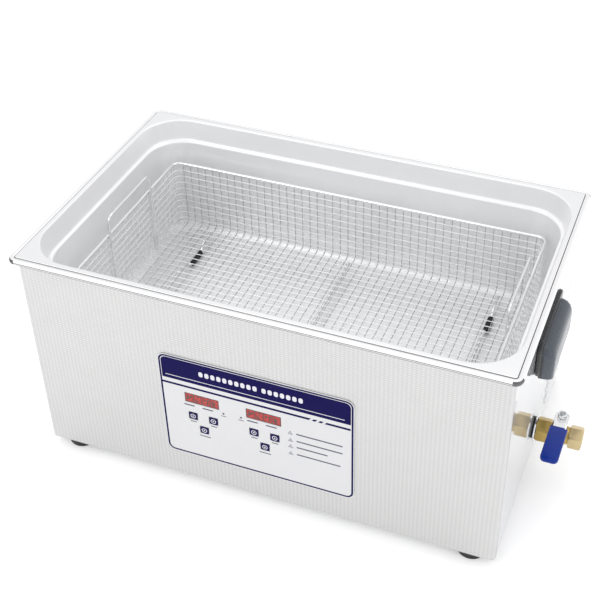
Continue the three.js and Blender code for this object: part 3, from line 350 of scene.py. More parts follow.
@dataclass(frozen=True)
class Lit:
    """A glowing segment of a number display."""

    name: str
    colour: Point
    strength: float

    def build(self) -> bpy.types.Material:
        """Builds the material.

        Returns:
            The material.
        """
        graph = Graph(self.name)
        glow = graph.shades(graph.noise(500.0), scaled(self.colour, 0.8), self.colour)
        graph.link(glow, graph.shader.inputs["Base Color"])
        graph.link(glow, graph.shader.inputs["Emission Color"])
        graph.shader.inputs["Emission Strength"].default_value = self.strength
        graph.shader.inputs["Roughness"].default_value = 0.25
        return graph.material


# ---- Mesh tools -----------------------------------------------------------------------------


class Axis(Enum):
    """Which way a turned or extruded body runs."""

    X = "X"
    Y = "Y"
    Z = "Z"

    def point(self, across: float, up: float, along: float) -> Vector:
        """A point given across, up and along this axis.

        Args:
            across: distance sideways.
            up: distance upward, or the second way across for Z.
            along: distance along the axis.

        Returns:
            The point.
        """
        if self is Axis.X:
            return Vector((along, across, up))
        if self is Axis.Y:
            return Vector((across, along, up))
        return Vector((across, up, along))


def span(node: str) -> tuple[Vector, Vector]:
    """A node's lowest and highest corners, in millimetres from the cleaner's middle.

    Args:
        node: the frame's node.

    Returns:
        The lowest and the highest corner.
    """
    low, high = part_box(node)
    shift = Vector((MIDDLE_X, 0, 0))
    return (Vector(low) - shift) / MM, (Vector(high) - shift) / MM


def rounded(half_x: float, half_y: float, radius: float, steps: int = 12) -> list[Pair]:
    """Points round a rounded rectangle about the origin.

    Args:
        half_x: half its width.
        half_y: half its height.
        radius: its corners' radius.
        steps: segments in each corner.

    Returns:
        The points, anticlockwise, as many for any size.
    """
    radius = min(radius, half_x, half_y)
    points = []
    for quarter, (side_x, side_y) in enumerate(((1, -1), (1, 1), (-1, 1), (-1, -1))):
        for i in range(steps + 1):
            angle = math.radians(90 * (quarter - 1 + i / steps))
            x = side_x * (half_x - radius) + radius * math.cos(angle)
            y = side_y * (half_y - radius) + radius * math.sin(angle)
            points.append((x, y))
    return points


def circle(radius: float, steps: int = 40, turn: float = 0.0) -> list[Pair]:
    """Points round a circle, or a regular polygon when steps are few."""
    angles = [turn + 2 * math.pi * i / steps for i in range(steps)]
    return [(radius * math.cos(a), radius * math.sin(a)) for a in angles]


def arc(centre: Pair, radius: float, start: float, end: float, steps: int) -> list[Pair]:
    """Points on an arc, between two angles in degrees."""
    angles = [math.radians(start + (end - start) * i / steps) for i in range(steps + 1)]
    return [(centre[0] + radius * math.cos(a), centre[1] + radius * math.sin(a)) for a in angles]


def bent(corners: Sequence[Vector], radius: float, steps: int = 6, closed: bool = False) -> list[Vector]:
    """A path through corners, with each one rounded off.

    Args:
        corners: the path's corners.
        radius: the length of each leg that the bend takes.
        steps: segments in each bend.
        closed: whether the path runs back to its start.

    Returns:
        The path's points.
    """
    count = len(corners)
    path = [] if closed else [corners[0]]
    for i in range(0 if closed else 1, count if closed else count - 1):
        corner = corners[i]
        before = corner + (corners[i - 1] - corner).normalized() * radius
        after = corner + (corners[(i + 1) % count] - corner).normalized() * radius
        for step in range(steps + 1):
            t = step / steps
            path.append(before * (1 - t) ** 2 + corner * (2 * t * (1 - t)) + after * t**2)
    if not closed:
        path.append(corners[-1])
    return path


class Shape:
    """A mesh under construction, in millimetres from the cleaner's middle.

    It holds one or more closed bodies, and its mesh comes out in metres.
    """

    def __init__(self) -> None:
        """Starts an empty mesh."""
        self.bm = bmesh.new()

    def skin(self, rings: Sequence[Sequence[Vector]], caps: bool = True, loop: bool = False) -> "Shape":
        """Joins rings of points with faces.

        Args:
            rings: closed rings, all with the same number of points.
            caps: whether to close the first and last ring.
            loop: whether to join the last ring back to the first instead.

        Returns:
            This shape.
        """
        made = [[self.bm.verts.new(point) for point in ring] for ring in rings]
        pairs = list(zip(made, made[1:]))
        if loop:
            pairs.append((made[-1], made[0]))
        for low, high in pairs:
            for i in range(len(low)):
                j = (i + 1) % len(low)
                self.bm.faces.new((low[i], low[j], high[j], high[i]))
        if caps and not loop:
            self.bm.faces.new(list(reversed(made[0])))
            self.bm.faces.new(made[-1])
        return self

    def turned(self, profile: Sequence[Pair], axis: Axis, at: Point, steps: int = 48,
               loop: bool = False) -> "Shape":
        """A body turned about an axis.

        Args:
            profile: (radius, distance along the axis) points.
            axis: the axis it turns about.
            at: where the profile's zero is.
            steps: segments round it.
            loop: whether the profile closes on itself, as a ring's does.

        Returns:
            This shape.
        """
        centre = Vector(at)
        rings = []
        for radius, along in profile:
            rings.append([centre + axis.point(x, y, along) for x, y in circle(radius, steps)])
        return self.skin(rings, loop=loop)

    def prism(self, outline: Sequence[Pair], axis: Axis, low: float, high: float,
              edge: float = 0.0, at: Pair = (0.0, 0.0)) -> "Shape":
        """An outline pushed along an axis, with its rims chamfered.

        Args:
            outline: points across and up from the middle at.
            axis: the axis it is pushed along.
            low: where it starts.
            high: where it ends.
            edge: the chamfer's size.
            at: the outline's middle.

        Returns:
            This shape.
        """
        size = max(max(abs(x), abs(y)) for x, y in outline)
        small = 1 - edge / size
        stations = [(low, 1.0), (high, 1.0)]
        if edge:
            stations = [(low, small), (low + edge, 1.0), (high - edge, 1.0), (high, small)]
        rings = []
        for along, share in stations:
            rings.append([axis.point(at[0] + x * share, at[1] + y * share, along) for x, y in outline])
        return self.skin(rings)

    def frame(self, outer: Sequence[Pair], inner: Sequence[Pair], axis: Axis,
              low: float, high: float, at: Pair = (0.0, 0.0)) -> "Shape":
        """A closed band between two outlines with as many points each.

        Args:
            outer: the outer outline.
            inner: the inner outline.
            axis: the axis it is pushed along.
            low: where it starts.
            high: where it ends.
            at: the outlines' middle.

        Returns:
            This shape.
        """
        rings = []
        for outline, along in ((outer, low), (outer, high), (inner, high), (inner, low)):
            rings.append([axis.point(at[0] + x, at[1] + y, along) for x, y in outline])
        return self.skin(rings, loop=True)

    def block(self, low: Sequence[float], high: Sequence[float]) -> "Shape":
        """A block between two corners."""
        corners = [(low[0], low[1]), (high[0], low[1]), (high[0], high[1]), (low[0], high[1])]
        return self.skin([[Vector((x, y, z)) for x, y in corners] for z in (low[2], high[2])])

    def wire(self, path: Sequence[Vector], radius: float, sides: int = 8, closed: bool = False) -> "Shape":
        """A round wire along a path.

        Args:
            path: its centre line.
            radius: its radius.
            sides: how many sides its section has.
            closed: whether it runs back to its start.

        Returns:
            This shape.
        """
        count = len(path)
        rings = []
        across: Optional[Vector] = None
        for i, point in enumerate(path):
            before = path[i - 1] if closed or i else point
            after = path[(i + 1) % count] if closed or i < count - 1 else point
            along = (after - before).normalized()
            if across is None:
                across = along.orthogonal().normalized()
            across = (across - along * across.dot(along)).normalized()
            up = along.cross(across)
            rings.append([point + (across * x + up * y) for x, y in circle(radius, sides)])
        return self.skin(rings, loop=closed)

    def mesh(self, name: str) -> bpy.types.Mesh:
        """Ends the work: turns the faces outward and gives the mesh.

        Args:
            name: the mesh's name.

        Returns:
            The mesh, in metres.
        """
        place = Matrix.Translation((MIDDLE_X, 0, 0)) @ Matrix.Scale(MM, 4)
        bmesh.ops.transform(self.bm, matrix=place, verts=self.bm.verts)
        bmesh.ops.recalc_face_normals(self.bm, faces=self.bm.faces)
        made = bpy.data.meshes.new(name)
        self.bm.to_mesh(made)
        self.bm.free()
        return made


@dataclass
class Workshop:
    """Turns shapes into dressed pieces, and keeps each finish's material."""

    materials: dict[str, bpy.types.Material] = field(default_factory=dict)

    def material(self, finish: object) -> bpy.types.Material:
        """The material of a finish, built once.

        Args:
            finish: the finish.

        Returns:
            Its material.
        """
        if finish.name not in self.materials:
            self.materials[finish.name] = finish.build()
        return self.materials[finish.name]

    def put(self, shape: Shape, name: str) -> bpy.types.Object:
        """Puts a shape into the scene as a bare object.

        Args:
            shape: the shape, which is used up.
            name: the object's name.

        Returns:
            The object.
        """
        obj = bpy.data.objects.new(name, shape.mesh(name))
        bpy.context.scene.collection.objects.link(obj)
        return obj

    def settle(self, obj: bpy.types.Object) -> None:
        """Writes an object's modifiers into its mesh.

        Args:
            obj: the object.
        """
        depsgraph = bpy.context.evaluated_depsgraph_get()
        made = bpy.data.meshes.new_from_object(obj.evaluated_get(depsgraph))
        obj.modifiers.clear()
        obj.data = made

    def carve(self, obj: bpy.types.Object, tools: Shape, operation: str = "DIFFERENCE") -> None:
        """Cuts a shape out of an object, or joins it on.

        Args:
            obj: the object to change.
            tools: the shape to cut with.
            operation: "DIFFERENCE", "UNION" or "INTERSECT".
        """
        cutter = self.put(tools, "cutter")
        modifier = obj.modifiers.new("carve", "BOOLEAN")
        modifier.object = cutter
        modifier.operation = operation
        modifier.solver = "EXACT"
        self.settle(obj)
        bpy.data.objects.remove(cutter)

    def soften(self, obj: bpy.types.Object, width: float, segments: int = 2) -> None:
        """Rounds an object's sharp edges.

        Args:
            obj: the object.
            width: the rounding's width, in millimetres.
            segments: how many faces it takes.
        """
        modifier = obj.modifiers.new("edges", "BEVEL")
        modifier.width = width * MM
        modifier.segments = segments
        modifier.limit_method = "ANGLE"
        modifier.angle_limit = math.radians(40)
        self.settle(obj)

    def finish(self, obj: bpy.types.Object, look: object, body: str, slot: str,
               stands_for: Sequence[str] = (), smooth: float = 38.0) -> bpy.types.Object:
        """Dresses a piece and hangs it on its body.

        Args:
            obj: the piece.
            look: its finish.
            body: the body it rides on.
            slot: the record's material slot; not used.
            stands_for: the frame's nodes that it replaces.
            smooth: edges flatter than this many degrees are shaded smooth.

        Returns:
            The piece.
        """
        mesh = obj.data
        mesh.materials.clear()
        mesh.materials.append(self.material(look))
        mesh.polygons.foreach_set("use_smooth", [True] * len(mesh.polygons))
        mesh.set_sharp_from_angle(angle=math.radians(smooth))
        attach(obj, body)
        if stands_for:
            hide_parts(*stands_for)
        LOG.info("%s: %d faces", obj.name, len(mesh.polygons))
        return obj

    def piece(self, shape: Shape, name: str, look: object, body: str, slot: str,
              stands_for: Sequence[str] = (), edge: float = 0.0) -> bpy.types.Object:
        """Makes, softens and dresses a piece in one go.

        Args:
            shape: the piece's shape.
            name: its name.
            look: its finish.
            body: the body it rides on.
            slot: the record's material slot.
            stands_for: the frame's nodes that it replaces.
            edge: how much its edges are rounded.

        Returns:
            The piece.
        """
        obj = self.put(shape, name)
        if edge:
            self.soften(obj, edge)
        return self.finish(obj, look, body, slot, stands_for)

    def accent(self, obj: bpy.types.Object, look: object,
               chosen: Callable[[bpy.types.MeshPolygon], bool]) -> None:
        """Gives some of a piece's faces a further finish.

        Args:
            obj: the piece, already dressed.
            look: the further finish; each use here paints light and shade on the chosen faces.
            chosen: says whether a face takes it.
        """
        index = len(obj.data.materials)
        obj.data.materials.append(self.material(look))
        for polygon in obj.data.polygons:
            if chosen(polygon):
                polygon.material_index = index

    def dress_node(self, node: str, look: object) -> None:
        """Gives a node of the frame a better material.

        Args:
            node: the frame's node.
            look: its finish.
        """
        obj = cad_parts[node]
        obj.data.materials.clear()
        obj.data.materials.append(self.material(look))


# ---- Finishes ----------------------------------------------------------------------------

SATIN_STEEL = Metal("satin_steel_look", (0.92, 0.922, 0.925), 0.34, Grain.ALONG_X, 0.06, 0.035, metallic=0.4)
# The flange's flat top is a darker copy of the bath's steel: painted shade that holds the lit top down
# against the well's lighter steel.
SHADED_FLANGE_STEEL = Metal("shaded_flange_steel_look", (0.79, 0.792, 0.795), 0.38, Grain.ALONG_X, 0.06, 0.02, metallic=0.4)
# Dark steel for the painted shade and dark reflection round the rolled rim.
SHADED_STEEL = Metal("shaded_steel_look", (0.16, 0.16, 0.165), 0.26, Grain.ALONG_X, 0.05, 0.1)
BRIGHT_STEEL = Metal("bright_steel_look", (0.84, 0.845, 0.85), 0.1, Grain.EVEN, 0.03, 0.03)
MIRROR_STEEL = Metal("mirror_steel_look", (0.7, 0.705, 0.715), 0.07, Grain.ALONG_Y, 0.03, 0.02, metallic=0.5)
LINEN_STEEL = Embossed("linen_steel_look", (0.665, 0.665, 0.66), 0.4)
ZINC_STEEL = Metal("zinc_steel_look", (0.42, 0.44, 0.46), 0.38, Grain.EVEN, 0.08, 0.1)
BASKET_WIRE = Metal("basket_wire_look", (0.93, 0.932, 0.935), 0.24, Grain.EVEN, 0.05, 0.06, metallic=0.55)
# A darker copy of the basket's wire: painted shade on the wires that run front to back.
SHADED_WIRE = Metal("shaded_wire_look", (0.5, 0.505, 0.51), 0.3, Grain.EVEN, 0.05, 0.1)
CAST_BRASS = Metal("cast_brass_look", (0.48, 0.345, 0.11), 0.34, Grain.EVEN, 0.05, 0.06, 0.008 * MM)
TURNED_BRASS = Metal("turned_brass_look", (0.62, 0.5, 0.28), 0.36, Grain.EVEN, 0.05, 0.08)
CAST_ALUMINIUM = Metal("cast_aluminium_look", (0.55, 0.56, 0.57), 0.42, Grain.EVEN, 0.08, 0.08, 0.05 * MM)
BLACK_RUBBER = Moulded("black_rubber_look", (0.012, 0.012, 0.013), 0.62)
BLACK_PLASTIC = Moulded("black_plastic_look", (0.014, 0.015, 0.017), 0.28, coat=0.3)
# A paler slate copy of the pulls' black plastic: painted reflection of the bright sky.
SKY_SHEEN_PLASTIC = Moulded("sky_sheen_plastic_look", (0.075, 0.09, 0.11), 0.26, 0.008 * MM, coat=0.2, shine=0.35)
BLUE_VINYL = Moulded("blue_vinyl_look", (0.002, 0.026, 0.27), 0.25, 0.006 * MM, 300.0, 0.04, 0.12, 0.2)
LABEL_FILM = Moulded("label_film_look", (0.7, 0.7, 0.71), 0.45, 0.006 * MM, 1500.0, 0.0, 0.02, 0.3)
NAVY_INK = Moulded("navy_ink_look", (0.004, 0.002, 0.07), 0.5, 0.006 * MM, 1500.0, 0.0, 0.1, 0.08)
WHITE_INK = Moulded("white_ink_look", (0.74, 0.74, 0.78), 0.5, 0.004 * MM, 1500.0, 0.0, 0.02, 0.2)
GREY_INK = Moulded("grey_ink_look", (0.13, 0.13, 0.17), 0.5, 0.004 * MM, 1500.0, 0.0, 0.05, 0.1)
KEY_FACE = Moulded("key_face_look", (0.008, 0.004, 0.075), 0.45, 0.008 * MM, 1200.0, 0.0, 0.08, 0.12)
GREY_GAP = Moulded("grey_green_look", (0.07, 0.075, 0.06), 0.35, 0.004 * MM, 900.0, 0.0, 0.15, 0.3)
RED_FILTER = Lit("red_filter_look", (0.38, 0.03, 0.03), 0.1)
RED_SEGMENT = Lit("red_segment_look", (0.5, 0.05, 0.045), 0.16)
CIRCUIT_BOARD = Moulded("circuit_board_look", (0.015, 0.11, 0.04), 0.4, coat=0.3)
HEATER_RUBBER = Moulded("heater_rubber_look", (0.45, 0.08, 0.03), 0.6)


@dataclass(frozen=True)
class Plan:
    """A rounded rectangle seen from above."""

    half_x: float
    half_y: float
    corner: float

    def grown(self, by: float) -> "Plan":
        """The same outline moved outward by a distance."""
        return Plan(self.half_x + by, self.half_y + by, max(self.corner + by, 0.5))

    def ring(self, z: float, middle_y: float = 0.0) -> Loop:
        """The outline's points at a height."""
        return [Vector((x, middle_y + y, z)) for x, y in rounded(self.half_x, self.half_y, self.corner, 16)]


Station = tuple[Plan, float]


# ---- The bath ----------------------------------------------------------------------------


@dataclass
class Tank:
    """The pressed bath with its tapered band, shoulder, and rolled rim, in millimetres."""

    wall: float = 1.5
    roll: float = 3.4  # radius of the rolled edge
    rim_corner: float = 9.0
    land_side: float = 11.8  # rolled edge to the mouth, at the ends
    land_front: float = 13.3
    mouth_corner: float = 47.0
    mouth_edge: float = 2.2
    skirt: float = 2.0  # straight edge below the roll
    band_height: float = 24.5
    band_taper: float = 4.5
    shoulder: float = 3.5
    depth: float = 150.0
    floor_round: float = 18.0
    drain_inset: float = 42.0
    drain_radius: float = 6.5
    skirt_inset: float = 4.2
    flange_level: float = 0.9  # a flange face's least upward slope, to take the painted shade on the flat top
    flange_drop: float = 0.6
    crease_near: float = 5.3  # the shaded crease, in from the rolled edge
    crease_far: float = 6.4
    crease_drop: float = 1.3
    under_reach: float = 4.2  # the shade below the roll
    under_ends: float = 3.4
    under_front: float = 4.0
    shade_spare: float = 0.5
    corner_spare: float = 2.5  # how far a corner's shade runs along the sides
    corner_reach: float = 5.4
    corner_drop: float = 0.6
    mid_roll_shade_reach: float = 1.0  # a thin line of painted dark reflection round the middle of the roll
    mid_roll_shade_top: float = 2.8
    mid_roll_shade_bottom: float = 3.4

    def rim_stations(self, rim: Plan, top: float) -> list[Station]:
        """Rings from the skirt, over the roll, to the flat flange.

        Args:
            rim: the rolled edge's outline.
            top: the rim's height.

        Returns:
            The rings, outermost first.
        """
        centre = top - self.roll
        skirt = rim.grown(-self.skirt_inset)
        stations = [(skirt, centre - self.roll - self.skirt), (skirt, centre - self.roll - 0.2)]
        for step in range(17):
            angle = math.radians(-105 + 235 * step / 16)
            grow = self.roll * (math.cos(angle) - 1)
            stations.append((rim.grown(grow), centre + self.roll * math.sin(angle)))
        crease = self.roll * (math.cos(math.radians(130)) - 1)
        stations.append((rim.grown(crease - 0.5), top - 1.0))
        stations.append((rim.grown(crease - 0.9), top - 0.45))
        stations.append((rim.grown(crease - 1.4), top - 0.12))
        stations.append((rim.grown(crease - 1.9), top - 0.1))
        return stations

    def well_stations(self, mouth: Plan, top: float) -> list[Station]:
        """Rings from the mouth's edge down to the flat floor.

        Args:
            mouth: the mouth's outline.
            top: the rim's height.

        Returns:
            The rings, uppermost first.
        """
        flat = top - 0.1
        shoulder = top - self.band_height
        floor = top - self.depth
        edge = self.mouth_edge
        stations = [(mouth.grown(edge + 0.6), flat)]
        for step in range(7):
            angle = math.radians(90 + 90 * step / 6)
            outline = mouth.grown(edge + edge * math.cos(angle))
            stations.append((outline, flat - edge + edge * math.sin(angle)))
        taper = self.band_taper
        stations += [
            (mouth.grown(-0.15), flat - edge - 1.0),
            (mouth.grown(-taper + 0.6), shoulder + 3.2),
            (mouth.grown(-taper + 0.35), shoulder + 2.0),
            (mouth.grown(-taper - 0.1), shoulder + 0.9),
            (mouth.grown(-taper - 0.8), shoulder + 0.2),
            (mouth.grown(-taper - 1.5), shoulder),
        ]
        ledge = taper + self.shoulder
        well = Plan(mouth.half_x - ledge, mouth.half_y - ledge, mouth.corner - taper)
        stations += [
            (well.grown(1.3), shoulder - 0.1),
            (well.grown(0.6), shoulder - 0.45),
            (well.grown(0.15), shoulder - 1.2),
            (well, shoulder - 2.4),
            (well, shoulder - 4.0),
            (well, floor + self.floor_round + 1.5),
        ]
        radius = self.floor_round
        for step in range(10):
            angle = math.radians(-90 * step / 9)
            outline = well.grown(radius * math.cos(angle) - radius)
            stations.append((outline, floor + radius + radius * math.sin(angle)))
        stations.append((well.grown(-radius - 1.5), floor))
        return stations

    def underside(self, stations: Sequence[Station]) -> list[Station]:
        """The same rings one wall's thickness behind the visible face.

        Args:
            stations: the visible face's rings.

        Returns:
            The rings behind them, in the same order.
        """
        line = [(plan.half_x, z) for plan, z in stations]
        behind = []
        for i, (plan, z) in enumerate(stations):
            start = line[max(i - 1, 0)]
            end = line[min(i + 1, len(line) - 1)]
            run = (end[0] - start[0], end[1] - start[1])
            length = math.hypot(*run)
            behind.append((plan.grown(-run[1] / length * self.wall), z + run[0] / length * self.wall))
        return behind

    def is_shaded(self, point: Vector, high: Vector) -> bool:
        """Says whether a spot is in the crease, under the roll or on the underside of a corner.

        Args:
            point: the spot, in millimetres from the middle.
            high: the rim's highest corner.

        Returns:
            True where painted shade and dark reflection go on the steel.
        """
        past_x = abs(point.x) - (high.x - self.rim_corner)
        past_y = abs(point.y) - (high.y - self.rim_corner)
        at_corner = past_x > 0 and past_y > 0
        near_corner = past_x > -self.corner_spare and past_y > -self.corner_spare
        inset = self.rim_corner - (math.hypot(past_x, past_y) if at_corner else max(past_x, past_y))
        drop = high.z - point.z
        lowest = 2 * self.roll + self.shade_spare
        under_top = self.under_ends if past_x > past_y else self.under_front
        crease = self.crease_near < inset < self.crease_far and drop < self.crease_drop
        under = inset < self.under_reach and under_top < drop < lowest
        corner = near_corner and inset < self.corner_reach and self.corner_drop < drop < lowest
        # A thin line of painted dark reflection round the middle of the roll.
        seam = not at_corner and inset < self.mid_roll_shade_reach and self.mid_roll_shade_top < drop < self.mid_roll_shade_bottom
        return crease or seam or under or corner

    def build(self, shop: Workshop) -> None:
        """Builds the bath and drills its drain hole.

        Args:
            shop: the workshop.
        """
        high = span("tank")[1]
        rim = Plan(high.x, high.y, self.rim_corner)
        mouth = Plan(high.x - self.land_side, high.y - self.land_front, self.mouth_corner)
        face = self.rim_stations(rim, high.z) + self.well_stations(mouth, high.z)
        rings = list(reversed(face)) + self.underside(face)
        shape = Shape().skin([plan.ring(z) for plan, z in rings])
        tank = shop.put(shape, "bath")
        floor = high.z - self.depth
        drain_x = high.x - self.land_side - self.band_taper - self.shoulder - self.drain_inset
        bore = self.drain_radius
        profile = [(bore, -4.0), (bore, -0.7), (bore + 1.2, 0.3)]
        shop.carve(tank, Shape().turned(profile, Axis.Z, (drain_x, 0, floor)))
        shop.finish(tank, SATIN_STEEL, "cleaner", "satin_steel", ["tank"])
        middle = Vector((MIDDLE_X, 0, 0))
        # Painted shade on the flange's flat top, a darker copy of the same steel as the well.
        shop.accent(
            tank, SHADED_FLANGE_STEEL,
            lambda at: at.normal.z > self.flange_level and high.z - at.center.z / MM < self.flange_drop,
        )
        # Painted shade and dark reflection in the crease, under the roll, along its middle and under the
        # corners.
        shop.accent(tank, SHADED_STEEL, lambda at: self.is_shaded((at.center - middle) / MM, high))


# ---- The housing -------------------------------------------------------------------------


@dataclass
class Housing:
    """The sheet panels, base plate and feet, in millimetres."""

    sheet: float = 1.2
    bend: float = 4.5  # outer radius of the front's upright corners
    wrap: float = 7.5  # how far the front sheet turns round the corner
    seam: float = 0.6
    foot_bore: float = 4.0
    louvre_rise: float = 2.2
    louvre_count: int = 4
    louvre_pitch: float = 16.0
    louvre_low: float = 38.0
    louvre_near: float = 62.0
    louvre_far: float = 128.0
    louvre_width: float = 5.0
    pipe_hole: float = 9.4
    peg_hole: float = 3.4
    cut_near: float = 150.0  # openings are cut from here, out from the middle
    cut_far: float = 160.0
    key_hole: float = 2.4
    fan_slots: int = 7
    fan_slot_pitch: float = 9.5
    fan_slot_half: float = 2.0
    openings: tuple[tuple[str, float, float], ...] = (  # node, half width, half height
        ("power_inlet", 15.35, 12.35), ("switch_bezel", 10.85, 15.35),
    )

    def wrapped_sheet(self, half_x: float, face: float, wrap: float, bend: float) -> list[Pair]:
        """Plan outline of a sheet at -Y that turns round both corners.

        Args:
            half_x: the outer faces' distance from the middle.
            face: the sheet's outer face in Y.
            wrap: how far the sheet reaches back from that face.
            bend: outer radius of its corners.

        Returns:
            The outline's points.
        """
        inner = bend - self.sheet
        right_out = arc((half_x - bend, face + bend), bend, -90, 0, 8)
        right_in = arc((half_x - bend, face + bend), inner, 0, -90, 8)
        half = [*right_out, (half_x, face + wrap), (half_x - self.sheet, face + wrap), *right_in]
        other = [(-x, y) for x, y in reversed(half)]
        return [*half, *other]

    def long_panel(self, shop: Workshop, node: str, cuts: Shape) -> None:
        """The front or rear sheet, with its lower lip folded in.

        Args:
            shop: the workshop.
            node: the frame's panel.
            cuts: openings to cut.
        """
        low, high = span(node)
        rear = high.y > 0
        face = -high.y if rear else low.y
        outline = self.wrapped_sheet(high.x, face, self.wrap, self.bend)
        turn = -1 if rear else 1
        rings = [[Vector((x, turn * y, z)) for x, y in outline] for z in (low.z, high.z)]
        panel = shop.put(Shape().skin(rings), "rear_sheet" if rear else "front_sheet")
        lip = sorted((turn * (face + 0.4), turn * (face + 14)))
        lip_x = high.x - self.sheet - 1.2
        fold = Shape().block((-lip_x, lip[0], low.z), (lip_x, lip[1], low.z + self.sheet))
        shop.carve(panel, fold, "UNION")
        shop.carve(panel, cuts)
        shop.finish(panel, LINEN_STEEL, "cleaner", "embossed_steel", [node])

    def front_cuts(self) -> Shape:
        """Windows for the displays and holes for the keys' stems.

        Returns:
            The openings as solids.
        """
        cuts = Shape()
        for display in ("temperature_display", "timer_display"):
            low, high = span(display)
            near = (low.x - 0.4, -self.cut_far, low.z - 0.4)
            far = (high.x + 0.4, -self.cut_near, high.z + 0.4)
            cuts.block(near, far)
        for key in KEYS:
            low, high = span(key)
            middle = (low + high) / 2
            half = self.key_hole
            near = (middle.x - half, -self.cut_far, middle.z - half)
            far = (middle.x + half, -self.cut_near, middle.z + half)
            cuts.block(near, far)
        return cuts

    def rear_cuts(self) -> Shape:
        """Openings for the fan's air, the mains socket and the switch.

        Returns:
            The openings as solids.
        """
        cuts = Shape()
        low, high = span("fan_rotor")
        middle = (low + high) / 2
        reach = (high.x - low.x) / 2 + 0.5
        for i in range(self.fan_slots):
            offset = (i - self.fan_slots // 2) * self.fan_slot_pitch
            half = math.sqrt(reach**2 - offset**2)
            slot = [(offset + x, z) for x, z in rounded(self.fan_slot_half, half, 1.9, 4)]
            cuts.prism(slot, Axis.Y, self.cut_near, self.cut_far, 0.0, (middle.x, middle.z))
        for node, wide, tall in self.openings:
            low, high = span(node)
            centre = (low + high) / 2
            near = (centre.x - wide, self.cut_near, centre.z - tall)
            far = (centre.x + wide, self.cut_far, centre.z + tall)
            cuts.block(near, far)
        return cuts

    def side_panel(self, shop: Workshop, node: str) -> None:
        """A polished side sheet with pressed louvres, between the wrapped ones.

        Args:
            shop: the workshop.
            node: the frame's node that it stands for.
        """
        low, high = span(node)
        side = 1 if high.x > 0 else -1
        outer = max(abs(low.x), abs(high.x))
        front = span("front_panel")[0].y
        half = -front - self.wrap - self.seam
        spread = sorted((side * outer, side * (outer - self.sheet)))
        panel = shop.put(
            Shape().block((spread[0], -half, low.z), (spread[1], half, high.z)),
            "right_sheet" if side > 0 else "left_sheet",
        )
        lip = sorted((side * (outer - 14), side * (outer - 0.4)))
        fold = Shape().block((lip[0], -half + 8, low.z), (lip[1], half - 8, low.z + self.sheet))
        shop.carve(panel, fold, "UNION")
        bulges = Shape()
        slots = Shape()
        long = (self.louvre_far - self.louvre_near) / 2
        middle = (self.louvre_far + self.louvre_near) / 2
        for i in range(self.louvre_count):
            z = self.louvre_low + i * self.louvre_pitch
            rings = []
            for step in range(6):
                angle = math.radians(90 * step / 6)
                out = outer - 0.3 + self.louvre_rise * math.sin(angle)
                share = math.cos(angle)
                width = self.louvre_width * share
                ring = rounded(long - self.louvre_width * (1 - share), width, width, 6)
                rings.append([Vector((side * out, middle + y, z + dz)) for y, dz in ring])
            bulges.skin(rings)
            mouth = sorted((side * (outer - 3), side * (outer + 1.4)))
            near = (mouth[0], middle - long + 3, z - self.louvre_width - 1)
            far = (mouth[1], middle + long - 3, z - 2.2)
            slots.block(near, far)
        shop.carve(panel, bulges, "UNION")
        shop.carve(panel, slots)
        grip_low, grip_high = span("side_handle_right")
        grip_z = (grip_low.z + grip_high.z) / 2
        holes = Shape()
        for y in PEG_OFFSETS:
            holes.prism(circle(self.peg_hole, 16), Axis.X, spread[0] - 1, spread[1] + 1, 0.0, (y, grip_z))
        if side > 0:
            valve = span("valve_end")
            pipe_z = (valve[0].z + valve[1].z) / 2
            holes.prism(circle(self.pipe_hole, 32), Axis.X, spread[0] - 1, spread[1] + 1, 0.0, (0, pipe_z))
        shop.carve(panel, holes)
        shop.finish(panel, MIRROR_STEEL, "cleaner", "mirror_steel", [node])

    def foot(self, shop: Workshop, node: str) -> None:
        """A turned rubber foot with its screw in a recess below.

        Args:
            shop: the workshop.
            node: the frame's node that it stands for.
        """
        low, high = span(node)
        middle = (low + high) / 2
        radius = (high.x - low.x) / 2
        top = high.z
        bore = self.foot_bore
        profile = [
            (0.01, 5.0), (bore + 0.6, 5.0), (bore + 1.0, 0.6), (bore + 2.0, 0.0),
            (radius - 1.6, 0.0), (radius - 0.7, 0.4), (radius - 0.35, 1.4), (radius - 0.15, top - 3.0),
            (radius, top - 1.6), (radius, top - 0.2), (radius - 0.4, top), (0.01, top),
        ]
        name = node.replace("foot_", "rubber_foot_")
        shape = Shape().turned(profile, Axis.Z, (middle.x, middle.y, 0))
        shop.piece(shape, name, BLACK_RUBBER, "cleaner", "black_rubber", [node])

    def build(self, shop: Workshop) -> None:
        """Builds the panels and feet, and dresses the base plate.

        Args:
            shop: the workshop.
        """
        self.long_panel(shop, "front_panel", self.front_cuts())
        self.long_panel(shop, "rear_panel", self.rear_cuts())
        self.side_panel(shop, "left_panel")
        self.side_panel(shop, "right_panel")
        shop.dress_node("base_plate", ZINC_STEEL)
        for end in ("front", "rear"):
            for side in ("left", "right"):
                self.foot(shop, f"foot_{end}_{side}")


KEYS = [f"{group}_{name}_key" for group in ("heat", "timer") for name in ("lower", "raise", "switch")]


# ---- The control panel -------------------------------------------------------------------


